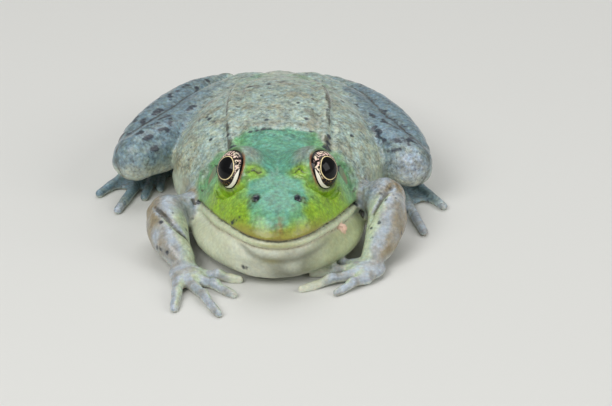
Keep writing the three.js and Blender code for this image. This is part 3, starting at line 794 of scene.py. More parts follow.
# Dark spots on the nape, shoulders and rump: y, angle of the section, side and radius.
BODY_SPOTS = (
    (35.0, 73, -1, 0.55), (35.3, 77, -1, 0.6), (35.3, 81, -1, 0.6), (35.2, 85, -1, 0.45), (35.6, 70, 1, 0.4),
    (30.5, 56, 1, 1.0), (31.6, 54, 1, 0.9), (33.0, 56, 1, 0.7), (30.6, 58, -1, 0.6),
    (58.0, 74, -1, 0.7), (58.3, 77, -1, 0.7), (58.5, 84, -1, 0.55), (51.0, 81, -1, 0.4), (47.0, 80, 1, 0.35),
    (60.5, 88, 1, 0.5), (45.0, 50, -1, 0.4), (55.0, 49, 1, 0.5),
)
# Streaks on the right of the upper lip, a fleck on the chin, marks behind the corners of the mouth and beside
# the ridges: x, y, z and radius.
SMALL_SPOTS = (
    (-9.0, 5.9, 12.9, 0.32), (-8.4, 5.8, 13.0, 0.32), (-8.7, 5.8, 13.7, 0.34), (-8.0, 5.6, 13.8, 0.34),
    (-8.2, 5.5, 14.5, 0.32), (-7.5, 5.3, 14.6, 0.3), (-6.8, 3.3, 4.4, 0.36), (-6.3, 3.1, 4.5, 0.34),
    (16.8, 27.2, 6.4, 0.7), (16.9, 27.6, 5.4, 0.6), (16.6, 26.0, 4.2, 0.6), (17.4, 27.6, 7.6, 0.4),
    (-16.1, 25.3, 8.4, 0.5), (-13.2, 15.3, 11.2, 0.3), (-14.9, 23.9, 11.8, 0.35), (14.9, 23.9, 11.8, 0.35),
    (16.0, 25.0, 8.0, 0.4), (16.8, 24.8, 6.5, 0.45), (-10.3, 35.3, 19.1, 0.5), (-10.9, 39.5, 19.3, 0.3),
    (10.5, 35.0, 18.8, 0.6), (11.4, 37.9, 18.7, 0.4), (10.1, 44.8, 20.6, 0.3),
)


def dark_spots():
    """Centres and radii of the dark blotches: the set ones, then a seeded scatter on back, legs and arms."""
    rng = np.random.default_rng(5)
    spots = [(on_body(y, angle, side), r) for y, angle, side, r in BODY_SPOTS]
    spots += [(np.array([x, y, z]), r) for x, y, z, r in SMALL_SPOTS]
    for _ in range(30):
        side = rng.choice((-1, 1))
        spots.append((on_body(rng.uniform(37, 78), rng.uniform(20, 84), side), rng.uniform(0.2, 0.42)))
    # short rows of spots across thigh and shank
    for leg in LEGS.values():
        for part, first, last in (("thigh", 0.42, 0.97), ("shank", 0.06, 0.92)):
            limb = Limb(leg[part], leg["side"], 26)
            for share, slant in ((a, b) for a in np.linspace(first, last, 7) for b in (-40, -4, 30, 62)):
                if rng.uniform() < 0.3:
                    continue
                middle = share + rng.uniform(-0.04, 0.04)
                turn = 90 - leg["side"] * (slant + rng.uniform(-12, 12))
                size = rng.uniform(0.4, 0.9)
                lean = rng.uniform(-9, 9)
                for step in range(rng.integers(2, 5)):
                    place = along_limb(limb, np.clip(middle + step * 0.026, 0, 1), turn + lean * step)
                    spots.append((place, size * rng.uniform(0.55, 1.0)))
    for arm in ARMS.values():
        for part, count in (("upper", 6), ("fore", 8)):
            limb = Limb(arm[part], arm["side"])
            for _ in range(count):
                place = along_limb(limb, rng.uniform(0.1, 0.9), rng.uniform(0, 180))
                spots.append((place, rng.uniform(0.2, 0.45)))
    return spots


def spot_gap(p, spots):
    """Distance to the nearest spot's edge, negative inside, 3 at most; edges wander a little."""
    wander = 1 + 0.15 * waves(p, 2.2, 31)
    stretch = waves(p, 5.0, 32)[:, None] * (0.15, 0.0, 0.15)
    gap = np.full(len(p), 3.0)
    for centre, radius in spots:
        near = np.flatnonzero((np.abs(p - centre) < radius + 3).all(1))
        d = np.linalg.norm((p[near] - centre) * (1 + stretch[near]), axis=1)
        gap[near] = np.minimum(gap[near], d - radius * wander[near])
    return gap


def wrinkles(p):
    """Strength and phase of the fine creases between eye and nostril; a crease where the phase is 0."""
    ax = np.abs(p[:, 0])
    along = p[:, 1] + 0.4 * (ax - 4.4)
    strength = np.exp(-((((ax - 4.5) / 2.4) ** 2 + ((along - 14.6) / 1.3) ** 2) ** 2))
    strength = strength * smooth(17.5, 19, p[:, 2])
    phase = 3.2 * along + 0.4 * waves(p, 2.5, 13)
    return strength, (phase + math.pi / 2) % math.pi - math.pi / 2


def throat_fold(p, below, width):
    """Strength of the fold that sags across the throat from one side of the lip to the other, 1 along it."""
    x = p[:, 0]
    sag = -5.0 + np.where(x < 0.5, 0.045, 0.02) * (x - 0.5) ** 2
    across = smooth(12.5, 8, np.abs(x)) * (p[:, 1] < 14)
    return bump(below, sag, width) * across * smooth(-1.9, -2.8, below)


def relief(p):
    """Height of the skin's small lumps and creases over the field, in millimetres."""
    q = to_left(p)
    ax, y, z = q.T
    below = z - widest_line(y)
    head = smooth(34, 24, y) * (ax < 19)
    lid = np.exp(-(((q - EYE_CENTRE) / 5.2) ** 2).sum(1) ** 2)
    amount = (0.012 + 0.03 * smooth(0, 3, below) * (1 - head)) * (1 - 0.8 * lid)
    height = amount * (waves(p, 4.2, 11) + 0.6 * waves(p, 1.9, 12))
    # wrinkles beside the lids, and the crease behind the head
    strength, phase = wrinkles(p)
    height -= 0.16 * strength * np.cos(2 * phase)
    nape = bump(y - 0.012 * ax**2, 35.2, 0.55) * smooth(9.0, 6.5, ax) * smooth(14, 17, z)
    height -= 0.22 * nape
    # creases of the flank behind the arm and along the throat
    flank = smooth(36, 44, y) * smooth(66, 56, y) * bump(z, 8, 5) * smooth(14, 18, ax)
    height += 0.1 * flank * np.sin(1.5 * (y + 0.7 * z))
    height -= 0.34 * throat_fold(p, below, 0.9)
    throat = smooth(9.5, 8, z) * smooth(32, 24, y)
    height += 0.16 * throat * np.sin(1.15 * z - 0.16 * ax - 0.9 + 0.7 * waves(p, 14, 14))
    return height * bpy.context.scene.frog_shape.lump * smooth(0.0, 0.8, z)


class SkinPaint:
    """The skin's points, the places that its colours go by, and those colours, washed over one another."""

    def __init__(self, p, normal, flesh):
        self.p, self.normal, self.flesh = p, normal, flesh
        self.q = to_left(p)
        self.ax, self.y, self.z = self.q.T
        self.above = self.z - widest_line(self.y)
        self.wander = waves(p, 6.0, 21) * 0.8 + waves(p, 2.5, 22) * 0.4
        limb, self.groove = self.nearest_limb()
        skirt = smooth(15, 18, self.ax + 0.25 * np.abs(self.y - 30))
        self.on_limb = smooth(-1.2, 1.2, flesh.body.distance(p) - limb + 0.3 * waves(p, 5, 44)) * skirt
        self.on_jaw = (1 - self.on_limb) * smooth(32, 28, self.y) * (self.ax < 19)
        self.colours = bpy.context.scene.frog_colours
        self.tint = np.tile(np.array(self.colours.back)[:3], (len(p), 1))

    def nearest_limb(self):
        """Distance to the nearest limb piece, 5 at most, and how nearly two of them are equally near."""
        limb, groove = np.full(len(self.p), 5.0), np.zeros(len(self.p))
        for part, *_ in self.flesh.parts:
            near = inside_box(self.p, part.low, part.high)
            d = part.distance(self.p[near])
            meeting = bump(limb[near] - d, 0, 0.5) * bump(limb[near] + d, 0, 1.2)
            groove[near] = np.maximum(groove[near], meeting)
            limb[near] = np.minimum(limb[near], d)
        return limb, groove

    def wash(self, name, weight):
        """Moves each point's colour towards a named one by its weight."""
        over = np.array(getattr(self.colours, name))[:3]
        self.tint = self.tint + (over - self.tint) * np.clip(weight, 0, 1)[:, None]

    def paint(self):
        """Broad zones first, then what lies over them."""
        self.back_and_head()
        self.brows_and_cheeks()
        self.throat_and_belly()
        self.lips()
        self.legs_and_arms()
        self.lid_rims()
        self.nostrils()
        self.small_marks()
        self.tint = np.clip(self.tint, 0, 1)

    def back_and_head(self):
        """Grey flanks, brown mottling, green as far as a wandering edge on the nape, and the snout's yellow.

        Each zone is a product of smooth steps in distance from the middle, place along the body and height.
        """
        p, ax, y, z, above, wander = self.p, self.ax, self.y, self.z, self.above, self.wander
        self.wash("flank", smooth(17.0, 11.0, z + wander * 0.7) * smooth(30, 40, y))
        self.wash("brown", 0.42 * smooth(0.1, 1.5, waves(p, 6.5, 41) + 0.5 * waves(p, 2.6, 42)))
        edge = 35.3 - 5.0 * smooth(7.5, 10.5, ax) - 1.8 * smooth(14, 9, z)
        green = smooth(1.3 + 0.9 * smooth(8, 12, ax), -1.3, y - edge + 0.6 * wander)
        green = green * smooth(-2.5, 0.5, above)
        self.wash("head", green)
        crown = smooth(8.5, 4.5, ax) * smooth(2, 9, y) + 0.8 * smooth(3.6, 1.8, ax) * smooth(13.2, 15.0, z)
        self.wash("crown", green * np.clip(crown, 0, 1) * 0.8)
        side = smooth(4.4, 6.4, ax + 0.5 * wander) * smooth(19.6, 17.8, z)
        side = side * (1 - 0.5 * bump(ax, 6.5, 2) * bump(y, 10.5, 2))
        front = smooth(15.6, 13.4, z + 0.35 * wander + 0.6 * bump(ax, 0, 2.4))
        self.wash("snout", np.maximum(side, front) * smooth(27, 18, y + wander) * green)
        self.wash("lip", smooth(3.4, 1.2, above) * smooth(16, 5, y + ax * 0.5) * green * 0.85)
        rump = smooth(60, 68, y) * smooth(82, 74, y) * smooth(9, 13, z)
        self.wash("head", 0.45 * np.clip(0.5 + 0.6 * waves(p, 4, 43), 0, 1) * rump)

    def brows_and_cheeks(self):
        """Flat-topped bells on the lids' tops, the wrinkles before the eyes with painted shade in their
        creases, and a band behind them.
        """
        ax, y, z = self.ax, self.y, self.z
        brow = np.exp(-((((ax - 5.3) / 2.3) ** 2 + ((y - 18.2) / 3.0) ** 2) ** 1.5))
        self.wash("brow", 0.9 * brow * smooth(19.5, 21.0, z))
        strength, phase = wrinkles(self.p)
        self.wash("snout", 0.95 * strength)
        # painted shade in the wrinkles' creases, olive
        self.wash("olive", 0.45 * strength * bump(phase, 0, 0.5))
        cheek = smooth(10.5, 12.5, ax) * bump(y, 23.5, 4.0) * smooth(9, 11, z)
        self.wash("cheek", 0.8 * cheek * (1 - self.on_limb))

    def throat_and_belly(self):
        """Cream below the mouth and near the floor, then painted shade and green casts over the throat, set
        off to its left.
        """
        p, x, y, z, above = self.p, self.p[:, 0], self.y, self.z, self.above
        under = smooth(0.35, -0.55, above) * smooth(32.5, 29.5, y)
        self.wash("pale", under)
        belly = smooth(4.8, 2.2, z + 0.4 * self.wander + 4 * smooth(66, 76, y)) * smooth(29, 33, y)
        belly = np.maximum(belly, smooth(-0.35, -0.75, self.normal[:, 2]) * smooth(60, 66, y))
        self.wash("pale", belly * (1 - self.on_limb))
        # painted shade over the lower middle of the throat, where it turns down, grey brown in patches
        shade = under * self.on_jaw * smooth(-1.6, -2.6, above) * smooth(0.4, 3.0, z)
        patch = np.clip(0.75 + 0.25 * waves(p, 7, 23), 0, 1)
        self.wash("throat_painted_shade", 0.95 * shade * patch * bump(x, 3.0, 7.0) * smooth(11, 8, z))
        self.wash("throat_green", 0.7 * shade * smooth(3, 12, x))
        self.wash("throat_green", 0.3 * under * self.on_jaw * smooth(-6, -12, x) * smooth(-1, -3, above))
        # painted shade along the fold across the throat
        self.wash("throat_painted_shade", 0.7 * under * throat_fold(p, above, 0.75))
        self.wash("lip", 0.5 * np.exp(-(((x + 1) / 1.8) ** 2 + ((z - 6.9) / 0.7) ** 2)) * (y < 4))

    def lips(self):
        """Bells across the height over the mouth's line: the lower lip's roll, and brown with painted shade
        at the lips' edges and folds.
        """
        y, above, on_jaw = self.y, self.above, self.on_jaw
        roll = bump(above, -0.95, 0.75) * on_jaw
        self.wash("lower_lip", 0.9 * roll)
        self.wash("lip", 0.55 * roll * smooth(7, 1, self.ax))
        # brown along the upper lip's edge, partly its own and partly painted shade under the lip's overhang
        self.wash("lip_brown_and_fold_shade", 0.7 * on_jaw * bump(above, 0.4, 0.32) * (0.5 + 0.5 * smooth(20, 8, y)))
        # painted shade in the fold under the lower lip, brown
        self.wash("lip_brown_and_fold_shade", 0.5 * on_jaw * bump(above, -1.9, 0.3) * smooth(24, 10, y))

    def legs_and_arms(self):
        """Grey limbs, partly a painted sheen: cooler on the legs' upper sides, partly a painted bluish cast,
        brown on the arms' outer faces, cream on the inner.
        """
        p, y, z, on_limb = self.p, self.y, self.z, self.on_limb
        up, outward = self.normal[:, 2], self.normal[:, 0] * np.sign(p[:, 0])
        # grey over the limbs, on the arms partly a painted sheen of wet skin
        self.wash("limb", on_limb)
        hind = on_limb * smooth(38, 44, y)
        self.wash("back", hind)
        # cooler grey on the legs' upper and outer faces, partly a painted bluish cast of reflected light
        self.wash("hind_limb", hind * smooth(9, 20, self.ax + 1.5 * self.wander) * smooth(-0.6, 0.1, up))
        self.wash("pale", 0.6 * on_limb * smooth(0.1, -0.6, up))
        arm = on_limb * smooth(33, 29, y)
        brown = smooth(0.1, 0.55, outward) * np.clip(0.65 + 0.3 * waves(p, 5, 26), 0, 1)
        self.wash("brown", 0.95 * arm * brown * smooth(1.5, 4, z))
        self.wash("brown", 0.4 * arm * np.clip(waves(p, 4, 27), 0, 1))
        inner = smooth(-0.05, -0.45, outward + 0.12 * waves(p, 5, 29)) * smooth(0.5, 2, z)
        self.wash("arm_inner", 0.8 * arm * inner * smooth(21.5, 18.5, y - 2.5 * (p[:, 0] > 0)))
        # painted shade in the grooves where limbs meet
        self.wash("fold", 0.55 * self.groove * smooth(3, 5, z))

    def lid_rims(self):
        """A band along each lid's rim: orange where it faces the middle of the head, dull elsewhere, and
        painted shade on its inner edge.
        """
        rho, a, b, beyond = self.flesh.eye_place(self.q)
        on_lid = smooth(6.4, 5.6, rho)
        rim = smooth(0.55, 0.1, beyond) * on_lid
        turn = np.degrees(np.arctan2(b, a)) % 360
        inner_side = smooth(95, 120, turn) * smooth(235, 200, turn)
        self.wash("lid_rim", 0.9 * rim * inner_side)
        self.wash("lid_edge", 0.6 * rim * (1 - inner_side))
        # painted shade on the lid's inner edge, in the gap round the eyeball: blue black
        self.wash("mark", 0.8 * smooth(0.06, -0.1, beyond) * on_lid)

    def nostrils(self):
        """Darker olive below, a pale crescent on the inner side as a painted highlight, and a pit darkened as
        painted shade.
        """
        away = self.q - NOSTRIL
        pit = np.linalg.norm(away, axis=1)
        olive_patch = np.linalg.norm((away - (0.7, -0.1, -0.9)) / (1.3, 1.6, 1.7), axis=1)
        self.wash("olive", 0.85 * smooth(1.2, 0.6, olive_patch + 0.2 * waves(self.p, 1.4, 28)))
        # painted highlight: a pale crescent on the rim's inner side, in the crown's bluer green
        self.wash("crown", 0.6 * bump(pit, 1.55, 0.35) * smooth(0.5, -0.5, away[:, 0]))
        # painted shade: the nostril's pit dark
        self.wash("mark", smooth(1.15, 0.6, pit))

    def small_marks(self):
        """The brown patch of the snout's tip, the wart, and the paler crest of each ridge."""
        p, x, y, z = self.p, self.p[:, 0], self.y, self.z
        tip = np.exp(-(((x - 0.6) / 1.1) ** 2 + ((z - 14.4) / 1.7) ** 2)) * (y < 5)
        self.wash("lid_rim", 0.55 * tip * np.clip(0.7 + 0.6 * waves(p, 1.3, 27), 0, 1))
        wart = np.linalg.norm((p - WART) / WART_HALVES, axis=1)
        self.wash("lid_rim", 0.6 * bump(wart, 1.35, 0.25) * smooth(0.8, -0.8, x - WART[0]))
        self.wash("wart", smooth(1.35, 1.05, wart))
        near = np.flatnonzero((y > 22) & (y < 72) & (z > 12))
        gap = np.full(len(p), FAR)
        gap[near] = line_gap(self.q[near], self.flesh.ridge)
        self.wash("ridge", 0.5 * bump(gap, 0, 0.6) * smooth(34, 40, y))

    def pebble(self):
        """How coarse the skin's grain is: most on the back and hind limbs, least on the throat and belly."""
        head = smooth(34, 28, self.y)
        arm = self.on_limb * smooth(36, 32, self.y)
        upper = smooth(0.0, 3.0, self.above) * (1 - 0.25 * head) * (1 - 0.4 * arm)
        return 0.25 + 0.75 * np.clip(upper + (0.8 - 0.45 * arm) * self.on_limb, 0, 1)

    def fleck(self):
        """How thickly fine dark flecks are strewn: on the back, sides and limbs alone."""
        return np.clip((1 - smooth(34, 28, self.y)) * (smooth(0.0, 3.0, self.above) + self.on_limb), 0, 1)

    def crease_shade_lines(self):
        """Distance to the nearest line of painted shade in the skin's creases, less its half width; 2 at
        most.
        """
        p, q, ax, y, z, above, flesh = self.p, self.q, self.ax, self.y, self.z, self.above, self.flesh
        # painted shade in the mouth's groove, the fold under the lower lip, and the wrinkles
        mouth = np.abs(above + 0.05) - 0.16 + 2 * smooth(28, 31, y)
        under_lip = np.abs(above + 1.9) + 0.04 + 1.2 * smooth(18, 27, y)
        on_jaw = (self.on_limb < 0.5) & (ax < 18.6) & (y < 31)
        gap = np.where(on_jaw, np.minimum(np.minimum(mouth, under_lip), 2.0), 2.0)
        strength, phase = wrinkles(p)
        gap = np.minimum(gap, np.abs(phase) / 3.2 - 0.06 + 0.6 * (1 - strength))
        # painted shade along the outer edge of each ridge
        near = np.flatnonzero((y > 24) & (y < 74) & (z > 12))
        ridge = line_gap(q[near], flesh.ridge)
        outer = ax[near] > np.interp(y[near], flesh.ridge[:, 1], flesh.ridge[:, 0])
        ends = 0.7 * smooth(30, 27, y[near]) + 0.9 * smooth(60, 72, y[near]) + 0.16 * waves(p[near], 6, 25)
        gap[near] = np.minimum(gap[near], np.where(outer, np.abs(ridge - 0.8) - 0.1 + ends, 2.0))
        # painted shade round the eardrum's edge
        depth, spread = flesh.drum_place(q)
        ring = np.abs(spread - EARDRUM_RADIUS - 0.1) - 0.08 + 0.14 * smooth(-1, 1, y - EARDRUM_CENTRE[1])
        gap = np.where(np.abs(depth) < 2.5, np.minimum(gap, ring), gap)
        # painted shade in the creases, and in the grooves where limbs meet
        for line, _, width in flesh.creases:
            near = inside_box(p, line.min(0) - 2, line.max(0) + 2)
            gap[near] = np.minimum(gap[near], line_gap(p[near], line) - 0.8 * width)
        return np.minimum(gap, np.where(z > 4, np.where(y > 40, 0.6, 0.55) - 0.7 * self.groove, 2.0))


# ------------------------------------------------------------------ materials
class Finish:
    """A material's nodes, wired by short calls."""

    def __init__(self, name):
        self.material = bpy.data.materials.new(name)
        self.material.use_nodes = True
        self.tree = self.material.node_tree
        self.shader = self.tree.nodes["Principled BSDF"]

    def node(self, kind, **settings):
        made = self.tree.nodes.new(kind)
        for key, value in settings.items():
            setattr(made, key, value)
        return made

    def wire(self, source, socket):
        if isinstance(source, bpy.types.NodeSocket):
            self.tree.links.new(source, socket)
        else:
            socket.default_value = source

    def attribute(self, name, output="Fac"):
        return self.node("ShaderNodeAttribute", attribute_name=name).outputs[output]

    def place(self):
        """Where on the piece, in metres."""
        return self.node("ShaderNodeTexCoord").outputs["Object"]

    def noise(self, scale, detail=3.0, rough=0.55):
        """Noise about 0.5, with `scale` features to the metre."""
        made = self.node("ShaderNodeTexNoise")
        self.wire(self.place(), made.inputs["Vector"])
        made.inputs["Scale"].default_value = scale
        made.inputs["Detail"].default_value = detail
        made.inputs["Roughness"].default_value = rough
        return made.outputs["Fac"]

    def cells(self, scale):
        """Distance from the middle of the nearest cell, in cells."""
        made = self.node("ShaderNodeTexVoronoi")
        self.wire(self.place(), made.inputs["Vector"])
        made.inputs["Scale"].default_value = scale
        return made.outputs["Distance"]

    def reckon(self, operation, a, b):
        made = self.node("ShaderNodeMath", operation=operation)
        self.wire(a, made.inputs[0])
        self.wire(b, made.inputs[1])
        return made.outputs[0]

    def plus(self, a, b):
        return self.reckon("ADD", a, b)

    def less(self, a, b):
        return self.reckon("SUBTRACT", a, b)

    def times(self, a, b):
        return self.reckon("MULTIPLY", a, b)

    def grey(self, value):
        """A colour with the value in red, green and blue."""
        made = self.node("ShaderNodeCombineColor")
        for socket in made.inputs[:3]:
            self.wire(value, socket)
        return made.outputs[0]

    def ramp(self, value, low, high, start=0.0, end=1.0):
        """A smooth step from start at low to end at high."""
        made = self.node("ShaderNodeMapRange", interpolation_type="SMOOTHSTEP")
        for socket, source in zip(made.inputs, (value, low, high, start, end)):
            self.wire(source, socket)
        return made.outputs[0]

    def mix(self, weight, a, b, kind="MIX"):
        """Colour a with colour b laid over it by a weight."""
        made = self.node("ShaderNodeMix", data_type="RGBA", blend_type=kind)
        self.wire(weight, made.inputs[0])
        self.wire(self.opaque(a), made.inputs[6])
        self.wire(self.opaque(b), made.inputs[7])
        return made.outputs[2]

    @staticmethod
    def opaque(colour):
        return colour if isinstance(colour, bpy.types.NodeSocket) else (*tuple(colour)[:3], 1.0)

    def bump(self, height, depth):
        """Fine relief in the shading, its depth in metres."""
        made = self.node("ShaderNodeBump")
        made.inputs["Strength"].default_value = 1.0
        made.inputs["Distance"].default_value = depth
        self.wire(height, made.inputs["Height"])
        self.wire(made.outputs["Normal"], self.shader.inputs["Normal"])

    def gloss(self, **values):
        """Sets sockets of the shader by their names in lower case, with underscores for spaces."""
        for key, value in values.items():
            words = key.replace("_", " ").title().replace("Ior", "IOR")
            self.shader.inputs[words].default_value = value


def skin_finish():
    """Wet, finely granular skin: the points' colour, broken by mottling, grain, painted shade in the creases
    and sharp dark spots.
    """
    colours = bpy.context.scene.frog_colours
    f = Finish("frog_skin")
    mottle, fine, grain = f.noise(420, 4.0, 0.6), f.noise(1300, 3.0, 0.6), f.noise(2800, 3.0, 0.6)
    coarse = f.attribute("pebble")
    pebbles = f.times(f.ramp(f.cells(1150), 0.0, 0.75, 1.0, 0.0), coarse)
    # lighter and darker with the mottling at two sizes, the grain and the pebbles
    vary = f.plus(f.ramp(mottle, 0.3, 0.7, -0.26, 0.18), f.ramp(fine, 0.3, 0.7, -0.22, 0.18))
    vary = f.times(f.plus(vary, f.ramp(grain, 0.3, 0.7, -0.14, 0.12)), coarse)
    vary = f.plus(vary, f.times(f.less(pebbles, f.times(coarse, 0.45)), 0.4))
    colour = f.mix(1.0, f.attribute("tint", "Color"), f.grey(f.plus(vary, 1.0)), "MULTIPLY")
    # patches of a warmer and a cooler cast
    patches = f.ramp(f.noise(760, 4.0, 0.65), 0.36, 0.64)
    cast = f.mix(patches, (1.06, 1.0, 0.87), (0.93, 1.0, 1.09))
    colour = f.mix(coarse, colour, f.mix(1.0, colour, cast, "MULTIPLY"))
    # fine flecks, then painted shade along the creases, and spots, whose edges wander
    fleck = f.times(f.ramp(f.noise(1500, 2.0, 0.5), 0.62, 0.72), f.attribute("fleck"))
    colour = f.mix(f.times(fleck, 0.55), colour, colours.mark)
    wander = f.times(f.less(f.noise(900, 3.0, 0.6), 0.5), 1.1)
    line = f.ramp(f.plus(f.attribute("line"), f.times(wander, 0.35)), 0.22, -0.05)
    colour = f.mix(f.times(line, 0.8), colour, colours.fold)
    spot = f.ramp(f.plus(f.attribute("spot"), wander), 0.28, -0.22)
    colour = f.mix(f.times(spot, 0.92), colour, colours.mark)
    f.wire(colour, f.shader.inputs["Base Color"])
    f.bump(f.plus(pebbles, f.times(grain, 0.5)), bpy.context.scene.frog_shape.grain * MM)
    f.wire(f.ramp(mottle, 0.3, 0.7, 0.34, 0.52), f.shader.inputs["Roughness"])
    f.gloss(coat_weight=0.5, coat_roughness=0.14, coat_ior=1.38)
    f.gloss(subsurface_weight=0.08, subsurface_scale=1.2 * MM)
    return f.material


def eye_finish():
    """Black pupil in a gold ring, an iris of gold and rose netted with black, the third lid's edge, and
    painted shade next to the lids.
    """
    c = bpy.context.scene.frog_colours
    f = Finish("frog_eye")
    net = f.noise(2300, 3.0, 0.62)
    lit, pupil, lid = f.attribute("lit"), f.attribute("pupil"), f.attribute("third_lid")
    bright = f.mix(f.ramp(f.noise(700, 2.0), 0.4, 0.62), c.iris_rose, c.iris_gold)
    dim = f.mix(f.ramp(net, 0.52, 0.68), c.iris_dark, c.iris_bronze)
    bright = f.mix(f.ramp(net, 0.545, 0.485), bright, c.iris_dark)
    colour = f.mix(lit, dim, bright)
    # painted shade on the eyeball next to the lids' rim, black
    colour = f.mix(f.ramp(f.attribute("limbus"), -0.35, 0.05), colour, c.pupil)
    ring = f.ramp(f.plus(pupil, f.times(f.less(net, 0.5), 0.2)), 0.21, 0.15)
    colour = f.mix(f.ramp(pupil, 0.40, 0.24), colour, c.pupil)
    colour = f.mix(ring, colour, c.ring_gold)
    colour = f.mix(f.ramp(pupil, 0.06, -0.02), colour, c.pupil)
    colour = f.mix(f.ramp(lid, 0.16, 0.06), colour, c.pupil)
    colour = f.mix(f.ramp(lid, 0.02, -0.08), colour, c.third_lid)
    f.wire(colour, f.shader.inputs["Base Color"])
    f.gloss(roughness=0.5, specular_ior_level=0.05, coat_weight=0.7, coat_roughness=0.02, coat_ior=1.33)
    return f.material


def eardrum_finish():
    """Smooth thin skin, browner at the middle, with painted shade at the rim."""
    c = bpy.context.scene.frog_colours
    f = Finish("frog_eardrum")
    reach = f.attribute("reach")
    colour = f.mix(f.ramp(reach, 0.1, 0.7), c.eardrum_centre, c.eardrum)
    # painted shade round the rim, where the drum sinks into its seat
    colour = f.mix(f.ramp(reach, 0.86, 1.0), colour, c.mark)
    f.wire(colour, f.shader.inputs["Base Color"])
    f.bump(f.noise(2600, 3.0), 0.04 * MM)
    f.gloss(roughness=0.4, coat_weight=0.3, coat_roughness=0.18)
    return f.material


def plain_finish(name, colour, roughness):
    """One even colour."""
    f = Finish(name)
    f.shader.inputs["Base Color"].default_value = f.opaque(colour)
    f.shader.inputs["Roughness"].default_value = roughness
    return f.material


def store(obj, name, values):
    """A point attribute: floats, or colours where the rows hold three numbers."""
    values = np.asarray(values, np.float32)
    if values.ndim == 1:
        obj.data.attributes.new(name, "FLOAT", "POINT").data.foreach_set("value", values)
    else:
        rows = np.concatenate([values, np.ones((len(values), 1), np.float32)], 1)
        obj.data.attributes.new(name, "FLOAT_COLOR", "POINT").data.foreach_set("color", rows.ravel())


# ------------------------------------------------------------------ sizes and colours a user would change
def srgb(red, green, blue):
    """Screen values from 0 to 255 as linear light: ((v + 0.055) / 1.055)^2.4, or v / 12.92 when dark."""
    shares = (value / 255 for value in (red, green, blue))
    return tuple(((v + 0.055) / 1.055) ** 2.4 if v > 0.0405 else v / 12.92 for v in shares)


def hue(name, words, *values):
    """A colour a user can change, its default given as screen values."""
    return bpy.props.FloatVectorProperty(
        name=name, description=words, subtype="COLOR", size=3, min=0.0, max=1.0, default=srgb(*values)
    )


def amount(name, words, value):
    """A number a user can change, never negative."""
    return bpy.props.FloatProperty(name=name, description=words, default=value, min=0.0)


class FrogShape(bpy.types.PropertyGroup):
    """Sizes of the skin's mesh and relief, and of the pupils."""

    head_step: amount("Head mesh", "Spacing of the skin's mesh on the head, in millimetres", 0.37)
    body_step: amount("Body mesh", "Spacing of the skin's mesh on the trunk and limbs, in millimetres", 0.53)
    lump: amount("Lumps", "How strongly the skin's lumps and creases stand out", 1.0)
    grain: amount("Grain", "Depth of the skin's fine grain, in millimetres", 0.09)
    pupil_width: amount("Pupil width", "Width of the pupil along the eye, in millimetres", 4.4)
    pupil_height: amount("Pupil height", "Height of the pupil, in millimetres", 4.6)


